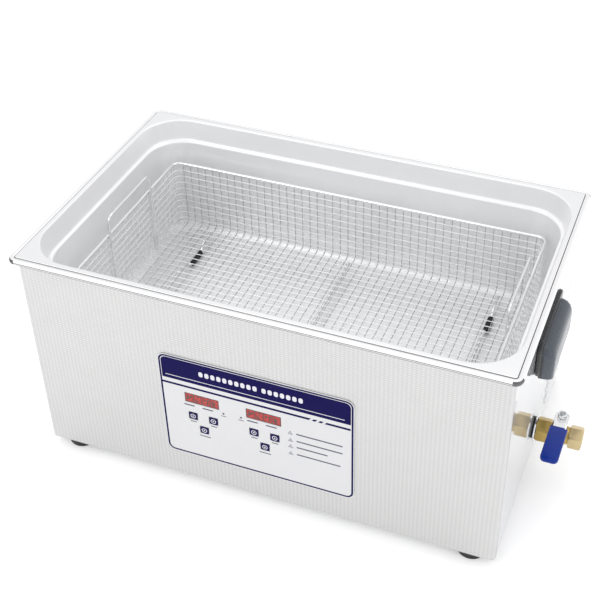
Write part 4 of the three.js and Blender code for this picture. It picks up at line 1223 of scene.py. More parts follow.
@dataclass
class ControlPanel:
    """The printed overlay, its two displays and six keys, in millimetres."""

    ink: float = 0.045  # how thick the print stands
    clear: float = 0.006
    line: float = 2.0  # border line's width
    edge_inset: float = 0.9
    band_low: float = 152.5
    band_high: float = 180.8
    band_half: float = 102.9
    rule_z: float = 146.0
    block_pitch: float = 6.6  # plain blocks where a title goes
    block_width: float = 4.6
    block_height: float = 6.6
    digit_width: float = 5.6
    digit_height: float = 9.2
    segment: float = 1.9
    border_corner: float = 8.0
    band_corner: float = 6.0
    rule_bars: tuple[Pair, ...] = ((-103.6, 59.6), (62.6, 66.4), (69.4, 73.2), (76.2, 102.6))
    rule_lean: float = 1.2
    rule_half: float = 1.35
    rule_square: float = 100.0  # bar ends past this are cut square
    title_rows: tuple[tuple[float, int], ...] = ((-60.8, 10), (8.4, 7))  # start, number of blocks
    title_z: float = 168.0
    # Each row of captions: their middles, height, half width and line.
    captions: tuple[tuple[tuple[float, ...], float, float, float], ...] = (
        ((-75.0, -54.0, -3.8, 17.2), 120.7, 6, 1.7),
        ((-71.8, -48.6, -2.8, 20.4), 98.0, 3.6, 1.2),
        ((-60.2, 8.8), 79.8, 6.5, 1.3),
    )
    cautions: tuple[Point, ...] = (  # icon's middle and height, bar's right end
        (37.7, 119.6, 94.1), (37.7, 109.5, 94.1), (37.7, 100.7, 77.9), (37.7, 90.4, 91.9),
    )
    caution_left: float = 44.3
    lamps: tuple[Pair, ...] = ((-36.3, 120.9), (-16.5, 122.0))
    lamp_radius: float = 1.3
    key_corner: float = 2.6
    key_thick: float = 0.8
    key_ring: Pair = (3.0, 2.2)  # outer and inner radius
    key_dot: float = 0.9
    digits_shown: tuple[str, ...] = ("acd", "bcfg", "adeg", "abc")  # lit segments

    def ink_shape(self, outline: Sequence[Pair], face: float, at: Pair, shape: Shape) -> None:
        """Adds one printed patch in front of a face."""
        shape.prism(outline, Axis.Y, face - self.clear - self.ink, face - self.clear, 0.0, at)

    def ink_frame(self, outer: Sequence[Pair], inner: Sequence[Pair], face: float, at: Pair,
                  shape: Shape) -> None:
        """Adds one printed ring or border in front of a face."""
        shape.frame(outer, inner, Axis.Y, face - self.clear - self.ink, face - self.clear, at)

    def bar(self, shape: Shape, face: float, left: float, right: float, z: float, tall: float) -> None:
        """Adds a printed bar with eased ends."""
        half = (right - left) / 2
        self.ink_shape(rounded(half, tall / 2, tall * 0.3, 4), face, ((left + right) / 2, z), shape)

    def printed(self, shop: Workshop) -> None:
        """The overlay's print: border, title band, rule, labels and icons.

        Args:
            shop: the workshop.
        """
        low, high = span("control_overlay")
        face = low.y
        middle = (low + high) / 2
        half_x = (high.x - low.x) / 2 - self.edge_inset
        half_z = (high.z - low.z) / 2 - self.edge_inset
        border = Shape()
        outer = rounded(half_x, half_z, self.border_corner, 8)
        inner = rounded(half_x - self.line, half_z - self.line, self.border_corner - self.line, 8)
        self.ink_frame(outer, inner, face, (middle.x, middle.z), border)
        band_mid = (self.band_low + self.band_high) / 2
        tall = (self.band_high - self.band_low) / 2
        top = [(x, z) for x, z in rounded(self.band_half, tall, self.band_corner, 8) if z > 0]
        band = [(-self.band_half, -tall), (self.band_half, -tall), *top]
        self.ink_shape(band, face, (middle.x, band_mid), border)
        thin = self.rule_half
        for left, right in self.rule_bars:
            near = 0.0 if left < -self.rule_square else self.rule_lean
            far = 0.0 if right > self.rule_square else self.rule_lean
            bar = [(left - near, -thin), (right - far, -thin), (right + far, thin), (left + near, thin)]
            self.ink_shape(bar, face, (0, self.rule_z), border)
        shop.piece(border, "panel_navy_print", NAVY_INK, "cleaner", "navy_key")
        white = Shape()
        lifted = face - self.ink - self.clear
        self.bar(white, lifted, -99, 96.5, 157.3, 0.8)
        for start, count in self.title_rows:
            for i in range(count):
                left = start + i * self.block_pitch
                self.bar(white, lifted, left, left + self.block_width, self.title_z, self.block_height)
        shop.piece(white, "panel_title_bars", WHITE_INK, "cleaner", "label_film")
        grey = Shape()
        for middles, z, half, line in self.captions:
            for x in middles:
                self.bar(grey, face, x - half, x + half, z, line)
        for x, z, right in self.cautions:
            self.bar(grey, face, self.caution_left, right, z, 1.7)
            self.icon(grey, face, x, z)
        for x, z in self.lamps:
            self.ink_shape(circle(self.lamp_radius, 20), face, (x, z), grey)
            self.bar(grey, face, x - 3, x + 3, z - 3.6, 0.9)
        shop.piece(grey, "panel_small_print", GREY_INK, "cleaner", "navy_key")

    def icon(self, shape: Shape, face: float, x: float, z: float) -> None:
        """A small generic warning triangle.

        Args:
            shape: the shape to add to.
            face: the face it lies on.
            x: the icon's middle.
            z: its middle height.
        """
        outer = circle(3.1, 3, math.pi / 2)
        inner = circle(2.1, 3, math.pi / 2)
        self.ink_frame(outer, inner, face, (x, z - 0.6), shape)
        self.ink_shape(rounded(0.25, 0.9, 0.2, 3), face, (x, z - 0.6), shape)

    def display(self, shop: Workshop, node: str) -> None:
        """Four lit digits on a red filter, with grey-green gaps around them.

        Args:
            shop: the workshop.
            node: the frame's node that it stands for.
        """
        low, high = span(node)
        face = low.y
        middle = (low + high) / 2
        filters = Shape()
        digits = Shape()
        lit = Shape()
        pitch = (high.x - low.x) / len(self.digits_shown)
        lifted = face - self.ink - self.clear
        for i, shown in enumerate(self.digits_shown):
            x = low.x + pitch * (i + 0.5)
            pane = rounded(pitch / 2 - 0.45, (high.z - low.z) / 2 - 0.7, 0.5, 4)
            self.ink_shape(pane, face, (x, middle.z), filters)
            self.digit(digits, lifted, x, middle.z, shown)
            others = "".join(letter for letter in "abcdefg" if letter not in shown)
            self.digit(lit, lifted, x, middle.z, others)
        shop.piece(filters, node + "_filter", RED_FILTER, "cleaner", "display_glass")
        shop.piece(digits, node + "_unlit", GREY_GAP, "cleaner", "display_glass")
        shop.piece(lit, node + "_lit", RED_SEGMENT, "cleaner", "display_glass")
        shop.dress_node(node, GREY_GAP)

    def digit(self, shape: Shape, face: float, x: float, z: float, lit: str) -> None:
        """The unlit segments of one seven-segment digit.

        Args:
            shape: the shape to add to.
            face: the face they lie on.
            x: the digit's middle.
            z: the digit's middle height.
            lit: letters a to g of the segments that are lit, and so left out.
        """
        half = self.digit_width / 2 - self.segment / 2
        step = (self.digit_height - self.segment) / 2
        thin = self.segment / 2 - 0.1
        flat = {"a": 1, "g": 0, "d": -1}
        upright = {"f": (-1, 0.5), "b": (1, 0.5), "e": (-1, -0.5), "c": (1, -0.5)}
        for letter, level in flat.items():
            if letter not in lit:
                outline = rounded(half - 0.5, thin, thin * 0.6, 3)
                self.ink_shape(outline, face, (x + level * 0.45, z + level * step), shape)
        for letter, (side, level) in upright.items():
            if letter not in lit:
                outline = rounded(thin, step / 2 - 0.45, thin * 0.6, 3)
                place = (x + side * half + level * 0.45, z + level * step)
                self.ink_shape(outline, face, place, shape)

    def key(self, shop: Workshop, node: str) -> None:
        """A square key with its stem, and a pale ring and dot on it.

        Args:
            shop: the workshop.
            node: the frame's node that it stands for.
        """
        low, high = span(node)
        middle = (low + high) / 2
        half = (high.x - low.x) / 2
        square = rounded(half, half, self.key_corner, 5)
        cap = Shape().prism(square, Axis.Y, low.y, low.y + self.key_thick, 0.25, (middle.x, middle.z))
        obj = shop.put(cap, node + "_cap")
        stem = Shape().block((middle.x - 2, low.y + 0.5, middle.z - 2), (middle.x + 2, high.y, middle.z + 2))
        shop.carve(obj, stem, "UNION")
        shop.finish(obj, KEY_FACE, node, "navy_key", [node])
        mark = Shape()
        face = low.y
        outer, inner = (circle(radius, 28) for radius in self.key_ring)
        self.ink_frame(outer, inner, face, (middle.x, middle.z), mark)
        self.ink_shape(circle(self.key_dot, 16), face, (middle.x, middle.z), mark)
        shop.piece(mark, node + "_mark", WHITE_INK, node, "label_film")

    def build(self, shop: Workshop) -> None:
        """Builds the print, displays and keys.

        Args:
            shop: the workshop.
        """
        shop.dress_node("control_overlay", LABEL_FILM)
        shop.dress_node("control_board", CIRCUIT_BOARD)
        self.printed(shop)
        self.display(shop, "temperature_display")
        self.display(shop, "timer_display")
        for node in KEYS:
            self.key(shop, node)


# ---- The side handles --------------------------------------------------------------------


@dataclass
class SideHandles:
    """Moulded pulls on both ends: a plate and a hood open below, in millimetres."""

    plate: float = 5.0
    corner: float = 12.0
    half_width: float = 47.0
    height: float = 37.0
    reach: float = 13.0
    hood_corner: float = 9.0
    wall: float = 3.0
    swell: tuple[Point, ...] = (  # distance out, side inset, top drop
        (-1.0, 0.0, 0.0), (2.0, 0.1, 0.3), (6.5, 0.6, 1.8), (10.0, 1.8, 4.6),
        (12.0, 3.4, 8.0), (12.8, 5.0, 11.0), (13.0, 6.6, 13.4),
    )
    pocket: float = 3.5
    edge: float = 1.3
    peg: float = 3.0
    outward: float = 0.05  # the least outward slope of a face that takes the painted sky reflection

    def bowl(self, face: float, base: float, shrink: float, back: float) -> Shape:
        """The hood's outline swept out from the plate, mirrored below its open foot.

        Args:
            face: the plate's outer face.
            base: height of the hood's open foot.
            shrink: how far inside the outer surface it lies.
            back: how far it reaches back into the plate.

        Returns:
            The hood as a solid.
        """
        rings = []
        for out, inset, drop in self.swell:
            share = (self.reach - shrink) / self.reach
            along = face - back if out < 0 else face + out * share
            wide = self.half_width - inset - shrink
            tall = self.height - drop - shrink
            outline = rounded(wide, tall, self.hood_corner, 8)
            rings.append([Vector((along, y, base + z)) for y, z in outline])
        return Shape().skin(rings)

    def build_one(self, shop: Workshop, node: str) -> None:
        """Builds one pull.

        Args:
            shop: the workshop.
            node: the frame's node that it stands for.
        """
        low, high = span(node)
        side = 1 if high.x > 0 else -1
        panel = span("right_panel")[1].x + 0.3
        face = panel + self.plate
        width = (high.y - low.y) / 2
        base = low.z
        tall = (high.z - low.z) / 2
        outline = rounded(width, tall, self.corner, 10)
        plate = Shape().prism(outline, Axis.X, panel, face, self.edge, (0, base + tall))
        grip = shop.put(plate, "right_pull" if side > 0 else "left_pull")
        hood = shop.put(self.bowl(face, base, 0.0, 1.5), "hood")
        shop.carve(hood, Shape().block((face - 3, -60, base), (face + 30, 60, base + 60)), "INTERSECT")
        joined = Shape()
        joined.bm.from_mesh(hood.data)
        back = Matrix.Scale(1 / MM, 4) @ Matrix.Translation((-MIDDLE_X, 0, 0))
        bmesh.ops.transform(joined.bm, matrix=back, verts=joined.bm.verts)
        bpy.data.objects.remove(hood)
        shop.carve(grip, joined, "UNION")
        wall = self.wall
        hollow = self.bowl(face, base, wall, 0.4)
        shop.carve(grip, hollow)
        wide, deep = self.half_width - 2 * wall, self.height - 2 * wall
        pocket = [(y * wide, z * deep) for y, z in circle(1.0, 48)]
        shop.carve(grip, Shape().prism(pocket, Axis.X, face - self.pocket, face + 1, 0.0, (0, base)))
        pegs = Shape()
        for y in PEG_OFFSETS:
            pegs.prism(circle(self.peg, 20), Axis.X, panel - 6, panel + 1, 0.0, (y, base + tall))
        shop.carve(grip, pegs, "UNION")
        if side < 0:
            for vertex in grip.data.vertices:
                vertex.co.x = 2 * MIDDLE_X - vertex.co.x
            grip.data.flip_normals()
        shop.soften(grip, 0.5)
        shop.finish(grip, BLACK_PLASTIC, "cleaner", "black_plastic", [node])
        # Painted reflection of the bright sky on the hood's faces that turn outward.
        edge = face + 0.4
        shop.accent(
            grip, SKY_SHEEN_PLASTIC,
            lambda at: side * (at.center.x - MIDDLE_X) / MM > edge and side * at.normal.x > self.outward,
        )

    def build(self, shop: Workshop) -> None:
        """Builds both pulls."""
        self.build_one(shop, "side_handle_right")
        self.build_one(shop, "side_handle_left")


# ---- The drain valve ---------------------------------------------------------------------


@dataclass
class DrainValve:
    """The brass ball valve on the drain pipe, with its lever, in millimetres."""

    hex_flats: float = 24.0
    end_flats: float = 23.0
    hex_length: float = 15.0
    chamber: float = 10.5
    neck: float = 9.6
    gland: float = 6.5
    stem: float = 3.0
    bore: float = 6.5
    mouth: float = 8.5
    thread: float = 1.8
    lever_plate: float = 1.6
    rim: float = 3.5
    tail_round: float = 5.0
    sleeve_start: float = 18.0
    sleeve_wall: float = 1.6
    level: float = 15.0
    climb: float = 5.0
    pipe_bore: float = 9.35
    ball_seat: float = 7.95
    stem_bore: float = 3.35
    spigot: float = 7.6
    stem_thread: float = 0.7

    def hexagon(self, flats: float, low: float, high: float, z: float) -> Shape:
        """A hexagonal length along X."""
        return Shape().prism(circle(flats / math.sqrt(3), 6, math.pi / 6), Axis.X, low, high, 0.0, (0, z))

    def bar(self, radius: float, low: float, high: float, z: float, steps: int = 48) -> Shape:
        """A plain round length along X, to cut with or join on."""
        return Shape().turned([(radius, low), (radius, high)], Axis.X, (0, 0, z), steps)

    def chamfer(self, flats: float, low: float, high: float, z: float) -> Shape:
        """The turned blank that takes a hexagon's corners off at both ends.

        Args:
            flats: the hexagon's width across its flats.
            low: where it starts along X.
            high: where it ends.
            z: its axis height.

        Returns:
            The blank as a solid.
        """
        small = flats / 2 + 0.1
        large = flats / math.sqrt(3) + 1
        slope = (large - small) * 0.62
        profile = [(small, low), (large, low + slope), (large, high - slope), (small, high)]
        return Shape().turned(profile, Axis.X, (0, 0, z), 64)

    def rings(self, shop: Workshop) -> None:
        """The rubber gasket and steel washer against the panel.

        Args:
            shop: the workshop.
        """
        looks = (("drain_gasket", BLACK_RUBBER, "black_rubber"), ("drain_washer", BRIGHT_STEEL, "zinc_steel"))
        for node, look, slot in looks:
            low, high = span(node)
            outer = (high.z - low.z) / 2
            inner = self.pipe_bore
            round_off = 0.4
            profile = [
                (inner, low.x), (outer - round_off, low.x), (outer, low.x + round_off),
                (outer, high.x - round_off), (outer - round_off, high.x), (inner, high.x),
            ]
            shape = Shape().turned(profile, Axis.X, (0, 0, (low.z + high.z) / 2), 64, loop=True)
            shop.piece(shape, node + "_ring", look, "cleaner", slot, [node])

    def body(self, shop: Workshop) -> None:
        """The cast body: hexagon, turned chamber and gland boss.

        Args:
            shop: the workshop.
        """
        low, high = span("valve_body")
        z = span("valve_end")
        axis = (z[0].z + z[1].z) / 2
        hex_end = low.x + self.hex_length
        obj = shop.put(self.hexagon(self.hex_flats, low.x, hex_end, axis), "brass_body")
        shop.carve(obj, self.chamfer(self.hex_flats, low.x, hex_end, axis), "INTERSECT")
        round_off = 1.6
        chamber = [
            (self.neck, hex_end - 1), (self.neck, hex_end + 0.8), (self.chamber - 0.5, hex_end + 2.0),
            (self.chamber, hex_end + 3.6), (self.chamber, high.x - round_off - 2.2),
            (self.chamber - 0.4, high.x - round_off - 1.2),
            (self.chamber - 0.9, high.x - round_off), (self.chamber - 0.9, high.x),
        ]
        shop.carve(obj, Shape().turned(chamber, Axis.X, (0, 0, axis), 64), "UNION")
        stem = span("valve_stem")
        stem_x = (stem[0].x + stem[1].x) / 2
        gland = [
            (self.gland + 1.2, 6.0), (self.gland + 0.4, 10.4), (self.gland, 12.0),
            (self.gland, high.z - axis - 0.9), (self.gland - 0.9, high.z - axis),
        ]
        shop.carve(obj, Shape().turned(gland, Axis.Z, (stem_x, 0, axis), 48), "UNION")
        flats = Shape()
        for side in (-1, 1):
            across = sorted((side * (self.gland - 0.7), side * (self.gland + 3)))
            flats.block((stem_x - 8, across[0], axis + 16.0), (stem_x + 8, across[1], high.z + 1))
        shop.carve(obj, flats)
        shop.carve(obj, self.bar(self.pipe_bore, low.x - 1, low.x + 10.3, axis))
        shop.carve(obj, self.bar(self.bore, low.x, high.x + 1, axis))
        shop.carve(obj, self.bar(self.ball_seat, stem_x - self.ball_seat, high.x + 1, axis))
        upright = [(self.stem_bore, 0), (self.stem_bore, 26)]
        shop.carve(obj, Shape().turned(upright, Axis.Z, (stem_x, 0, axis), 32))
        shop.soften(obj, 0.35)
        shop.finish(obj, CAST_BRASS, "cleaner", "brass", ["valve_body"])

    def end(self, shop: Workshop) -> None:
        """The screwed-in end with its threaded mouth.

        Args:
            shop: the workshop.
        """
        low, high = span("valve_end")
        axis = (low.z + high.z) / 2
        start = span("valve_body")[1].x + 0.3
        obj = shop.put(self.hexagon(self.end_flats, start, high.x, axis), "brass_end")
        shop.carve(obj, self.chamfer(self.end_flats, start, high.x, axis), "INTERSECT")
        shop.carve(obj, self.bar(self.spigot, low.x, start + 1, axis), "UNION")
        profile = [(self.bore, low.x - 1), (self.bore, start + 2.5)]
        along = start + 2.5
        while along + self.thread < high.x - 1.2:
            profile += [
                (self.mouth - 0.75, along + 0.1), (self.mouth, along + self.thread / 2),
                (self.mouth - 0.75, along + self.thread - 0.1),
            ]
            along += self.thread
        flare = self.mouth + 0.9
        profile += [(self.mouth - 0.1, high.x - 1.0), (flare, high.x + 0.2), (flare, high.x + 1)]
        shop.carve(obj, Shape().turned(profile, Axis.X, (0, 0, axis), 64))
        shop.soften(obj, 0.3)
        shop.finish(obj, TURNED_BRASS, "cleaner", "brass", ["valve_end"])

    def rise(self, y: float) -> float:
        """How far the lever has climbed at a distance in front of its stem.

        Args:
            y: the place along the lever.

        Returns:
            The climb.
        """
        low = span("valve_lever")[0]
        slope = self.climb / (-low.y - self.level)
        return max(0.0, -y - self.level) * slope

    def lever(self, shop: Workshop) -> None:
        """The pressed lever: a plate with upright rims and a round tail.

        Args:
            shop: the workshop.
        """
        low, high = span("valve_lever")
        stem = span("valve_stem")
        stem_x = (stem[0].x + stem[1].x) / 2
        base = low.z
        half = (high.x - low.x) / 2
        plate = self.lever_plate
        stations: list[tuple[float, float, float]] = []
        for step in range(7):
            angle = math.radians(90 - 80 * step / 6)
            y = high.y - self.tail_round + self.tail_round * math.sin(angle)
            wide = max(half - self.tail_round + self.tail_round * math.cos(angle), 2.2)
            stations.append((y, wide, plate + 0.9))
        flat = plate + 0.05
        stations += [
            (high.y - 6.5, half, plate + 1.6), (-4.0, half, plate + self.rim),
            (-self.level, half, plate + self.rim), (-self.sleeve_start - 2, half, plate + self.rim - 1.6),
            (-self.sleeve_start - 8, half, flat), (low.y + 5, half, flat),
            (low.y + 1.5, half - 1.6, flat), (low.y + 0.1, half - 5, flat),
        ]
        rings = []
        for y, wide, tall in stations:
            z = base + self.rise(y)
            side = [
                (wide - 0.5, 0.0), (wide, 0.5), (wide, tall),
                (wide - 1.2, tall), (wide - 1.25, plate + 0.04), (wide - 1.9, plate),
            ]
            section = [*side, *[(-x, up) for x, up in reversed(side)]]
            rings.append([Vector((stem_x + x, y, z + up)) for x, up in section])
        obj = shop.put(Shape().skin(rings), "lever_channel")
        bore = self.stem + 0.35
        shop.carve(obj, Shape().turned([(bore, base - 3), (bore, base + 5)], Axis.Z, (stem_x, 0, 0), 32))
        shop.finish(obj, BRIGHT_STEEL, "valve_handle", "zinc_steel", ["valve_lever"], 32)

    def sleeve(self, shop: Workshop) -> None:
        """The dipped vinyl grip with a soft rounded end.

        Args:
            shop: the workshop.
        """
        low, high = span("lever_sleeve")
        lever = span("valve_lever")
        stem_x = (low.x + high.x) / 2
        half = (high.x - low.x) / 2
        thick = self.lever_plate / 2 + 0.3 + self.sleeve_wall
        start = -self.sleeve_start

        def ring(y: float, wide: float, tall: float, edge: float) -> Loop:
            """One rounded section of the sleeve."""
            z = lever[0].z + self.rise(y) + self.lever_plate / 2
            return [Vector((stem_x + x, y, z + up)) for x, up in rounded(wide, tall, edge, 6)]

        thin = thick - 1.5
        cave = [(start, half - 1.5, thin), (low.y + 8.0, half - 1.5, thin), (low.y + 1.7, half - 6.2, thin)]
        rings = [ring(y, wide, tall, 0.6) for y, wide, tall in reversed(cave)]
        rings.append(ring(start + 0.1, half - 0.9, thick - 0.9, 1.2))
        rings.append(ring(start - 0.2, half - 0.3, thick - 0.3, 1.5))
        rings.append(ring(start - 1.2, half, thick, 1.7))
        rings.append(ring(low.y + 6.2, half, thick, 1.7))
        for step in range(1, 8):
            angle = math.radians(90 * step / 7.4)
            y = low.y + 6.2 - 6.2 * math.sin(angle)
            shrink = 1 - math.cos(angle)
            rings.append(ring(y, half - 5.5 * shrink, thick - 1.5 * shrink**1.6, 1.7 - 0.9 * shrink))
        shape = Shape().skin(rings)
        shop.piece(shape, "blue_sleeve", BLUE_VINYL, "valve_handle", "blue_vinyl", ["lever_sleeve"])

    def nut_and_stem(self, shop: Workshop) -> None:
        """The nut over the lever, with the threaded stem through it.

        Args:
            shop: the workshop.
        """
        low, high = span("lever_nut")
        middle = (low + high) / 2
        flats = min(high.y - low.y, high.x - low.x)
        hexagon = circle(flats / math.sqrt(3), 6, 0.35)
        blank = Shape().prism(hexagon, Axis.Z, low.z, high.z, 0.0, (middle.x, 0))
        obj = shop.put(blank, "stem_nut")
        small = flats / 2 + 0.1
        large = flats / math.sqrt(3) + 0.5
        cone = [(small, low.z), (large, low.z + 0.7), (large, high.z - 0.7), (small, high.z)]
        shop.carve(obj, Shape().turned(cone, Axis.Z, (middle.x, 0, 0), 48), "INTERSECT")
        bore = [(self.stem + 0.2, low.z - 1), (self.stem + 0.2, high.z + 1)]
        shop.carve(obj, Shape().turned(bore, Axis.Z, (middle.x, 0, 0), 32))
        shop.soften(obj, 0.2)
        shop.finish(obj, BRIGHT_STEEL, "valve_handle", "zinc_steel", ["lever_nut"])
        stem_low, stem_high = span("valve_stem")
        profile = [(self.stem, stem_low.z), (self.stem, low.z + 0.4)]
        along = low.z + 0.6
        while along + self.stem_thread < stem_high.z - 0.6:
            profile += [(self.stem, along), (self.stem - 0.3, along + 0.35)]
            along += self.stem_thread
        profile += [(self.stem - 0.1, stem_high.z - 0.6), (self.stem - 0.7, stem_high.z)]
        shape = Shape().turned(profile, Axis.Z, (middle.x, 0, 0), 28)
        shop.piece(shape, "threaded_stem", ZINC_STEEL, "valve_handle", "zinc_steel", ["valve_stem"])

    def build(self, shop: Workshop) -> None:
        """Builds the valve and dresses its inner pieces.

        Args:
            shop: the workshop.
        """
        self.rings(shop)
        self.body(shop)
        self.end(shop)
        self.lever(shop)
        self.sleeve(shop)
        self.nut_and_stem(shop)
        shop.dress_node("valve_ball", BRIGHT_STEEL)
        shop.dress_node("drain_elbow", ZINC_STEEL)


# ---- The basket --------------------------------------------------------------------------


@dataclass
class Basket:
    """The wire basket: mesh, rim, handles, runners and rubber sleeves, in millimetres."""

    corner: float = 10.0
    pitch: float = 9.6  # between upright wires
    ring_pitch: float = 8.6
    mesh_wire: float = 0.52  # radius
    mesh_bend: float = 5.0
    handle_bend: float = 9.0
    foot_flat: float = 14.0
    foot_slope: float = 9.0
    foot_spread: float = 66.0
    corner_angles: Pair = (25, 65)  # where the corners' own wires stand, degrees
    low_ring_inset: float = 2.2
    sleeve_bore: float = 2.35
    sleeve_ribs: int = 8

    def places(self, low: float, high: float, pitch: float) -> list[float]:
        """Evenly spaced places between two ends, both included."""
        count = round((high - low) / pitch)
        return [low + (high - low) * i / count for i in range(count + 1)]

    def mesh(self, shop: Workshop) -> None:
        """U-bent wires both ways, with rings round the sides.

        Args:
            shop: the workshop.
        """
        low, high = span("basket_mesh")
        wire = self.mesh_wire
        left, right = low.x + wire, high.x - wire
        near, far = low.y + wire, high.y - wire
        floor = low.z + wire
        top = high.z + 1.2
        sides = Shape()
        inset = self.corner + 1
        for x in self.places(left + inset, right - inset, self.pitch):
            path = [Vector((x, y, z)) for y, z in ((near, top), (near, floor), (far, floor), (far, top))]
            sides.wire(bent(path, self.mesh_bend, 4), wire, 6)
        crosswise = len(sides.bm.faces)
        lift = 1.25 * wire
        for y in self.places(near + inset, far - inset, self.pitch):
            level = floor + lift
            path = [Vector((x, y, z)) for x, z in ((left, top), (left, level), (right, level), (right, top))]
            sides.wire(bent(path, self.mesh_bend, 4), wire, 6)
        middle = (near + far) / 2
        ring_in = 1.5 * wire
        plan = Plan((right - left) / 2 - ring_in, (far - near) / 2 - ring_in, self.corner)
        for z in self.places(floor + 6.5, top - 8.0, self.ring_pitch):
            sides.wire(self.round_path(plan, middle, z), wire, 6, True)
        plan_low = plan.grown(-self.low_ring_inset)
        sides.wire(self.round_path(plan_low, middle, floor + 2.6), wire, 6, True)
        for corner_x in (left + self.corner, right - self.corner):
            for corner_y in (near + self.corner, far - self.corner):
                side_x = 1 if corner_x > 0 else -1
                side_y = 1 if corner_y > middle else -1
                reach = self.corner
                for angle in self.corner_angles:
                    share_x, share_y = math.cos(math.radians(angle)), math.sin(math.radians(angle))
                    x = corner_x + side_x * reach * share_x
                    y = corner_y + side_y * reach * share_y
                    inner_x = corner_x + side_x * (reach - 6) * share_x
                    inner_y = corner_y + side_y * (reach - 7) * share_y
                    level = floor + lift
                    path = [Vector((x, y, top)), Vector((x, y, level)), Vector((inner_x, inner_y, level))]
                    sides.wire(bent(path, self.mesh_bend, 4), wire, 6)
        weave = shop.piece(sides, "basket_weave", BASKET_WIRE, "basket", "bright_wire", ["basket_mesh"])
        # Painted shade on the wires that run front to back, across the floor and up the front and back walls.
        shop.accent(weave, SHADED_WIRE, lambda at: at.index < crosswise)

    def round_path(self, plan: Plan, middle: float, z: float) -> list[Vector]:
        """A closed path round a plan, without doubled points."""
        return [Vector((x, middle + y, z)) for x, y in rounded(plan.half_x, plan.half_y, plan.corner, 6)]

    def rim(self, shop: Workshop) -> None:
        """The heavier wire round the basket's top.

        Args:
            shop: the workshop.
        """
        low, high = span("basket_rim")
        radius = (high.z - low.z) / 2
        half_x = (high.x - low.x) / 2 - radius
        half_y = (high.y - low.y) / 2 - radius
        middle = (low.y + high.y) / 2
        outline = rounded(half_x, half_y, self.corner, 10)
        points = [Vector((x, middle + y, low.z + radius)) for x, y in outline]
        shape = Shape().wire(points, radius, 12, True)
        shop.piece(shape, "basket_top_wire", BRIGHT_STEEL, "basket", "bright_wire", ["basket_rim"])

    def handle(self, shop: Workshop, node: str) -> None:
        """A tall wire loop that stands inside an end wall.

        Args:
            shop: the workshop.
            node: the frame's node that it stands for.
        """
        low, high = span(node)
        radius = (high.x - low.x) / 2
        x = (low.x + high.x) / 2
        near, far = low.y + radius, high.y - radius
        top = high.z - radius
        path = [Vector((x, y, z)) for y, z in ((near, low.z), (near, top), (far, top), (far, low.z))]
        shape = Shape().wire(bent(path, self.handle_bend, 10), radius, 12)
        shop.piece(shape, node + "_wire", BRIGHT_STEEL, "basket", "bright_wire", [node])

    def runner(self, shop: Workshop, node: str) -> None:
        """A heavy wire under the floor; the outer two dip down into feet.

        Args:
            shop: the workshop.
            node: the frame's node that it stands for.
        """
        low, high = span(node)
        x = (low.x + high.x) / 2
        radius = (high.x - low.x) / 2
        level = high.z - radius
        path = [Vector((x, low.y, level))]
        middle = (low.y + high.y) / 2
        if level - low.z > 3:
            flat, slope, down = self.foot_flat, self.foot_slope, low.z + radius
            dip = ((-flat - slope, level), (-flat, down), (flat, down), (flat + slope, level))
            for y in (middle - self.foot_spread, middle + self.foot_spread):
                path += [Vector((x, y + offset, z)) for offset, z in dip]
        path.append(Vector((x, high.y, level)))
        points = bent(path, 2.5, 5) if len(path) > 2 else path
        shape = Shape().wire(points, radius - 0.05, 12)
        shop.piece(shape, node + "_wire", BRIGHT_STEEL, "basket", "bright_wire", [node])

    def sleeve(self, shop: Workshop, node: str) -> None:
        """A ribbed rubber tube over a foot.

        Args:
            shop: the workshop.
            node: the frame's node that it stands for.
        """
        low, high = span(node)
        outer = (high.x - low.x) / 2
        valley = outer - 0.55
        profile = [(self.sleeve_bore, low.y)]
        pitch = (high.y - low.y) / self.sleeve_ribs
        for i in range(self.sleeve_ribs):
            start = low.y + i * pitch
            profile += [
                (valley, start), (outer, start + pitch * 0.25),
                (outer, start + pitch * 0.75), (valley, start + pitch * 0.98),
            ]
        profile.append((self.sleeve_bore, high.y))
        middle = (low + high) / 2
        shape = Shape().turned(profile, Axis.Y, (middle.x, 0, middle.z), 28, loop=True)
        shop.piece(shape, node + "_tube", BLACK_RUBBER, "basket", "black_rubber", [node])

    def build(self, shop: Workshop) -> None:
        """Builds the whole basket.

        Args:
            shop: the workshop.
        """
        self.mesh(shop)
        self.rim(shop)
        for side in ("left", "right"):
            self.handle(shop, f"basket_handle_{side}")
            for end in ("front", "rear"):
                self.sleeve(shop, f"basket_foot_{end}_{side}")
        for place in ("left", "centre", "right"):
            self.runner(shop, f"basket_runner_{place}")


# ---- Fittings that keep the frame's own shapes -------------------------------------------


@dataclass
class InnerParts:
    """Finishes for the working parts inside and the fittings at the rear."""

    transducers: int = 8

    def build(self, shop: Workshop) -> None:
        """Dresses every remaining node of the frame.

        Args:
            shop: the workshop.
        """
        for number in range(1, self.transducers + 1):
            shop.dress_node(f"transducer_{number}", CAST_ALUMINIUM)
        shop.dress_node("heater_front", HEATER_RUBBER)
        shop.dress_node("heater_rear", HEATER_RUBBER)
        shop.dress_node("temperature_sensor", TURNED_BRASS)
        shop.dress_node("driver_board", CIRCUIT_BOARD)
        for node in ("fan_frame", "fan_rotor", "power_inlet", "switch_bezel", "power_rocker"):
            shop.dress_node(node, BLACK_PLASTIC)


# ---- The studio --------------------------------------------------------------------------


@dataclass
class Softbox:
    """A large soft light."""

    name: str
    place: Point
    size: Pair
    power: float
    aim: Point = (0.0, 0.0, 0.12)

    def build(self) -> None:
        """Hangs the light and points it."""
        data = bpy.data.lights.new(self.name, "AREA")
        data.shape = "RECTANGLE"
        data.size, data.size_y = self.size
        data.energy = self.power
        light = bpy.data.objects.new(self.name, data)
        light.location = self.place
        away = Vector(self.place) - Vector(self.aim)
        light.rotation_euler = away.to_track_quat("Z", "Y").to_euler()
        bpy.context.scene.collection.objects.link(light)


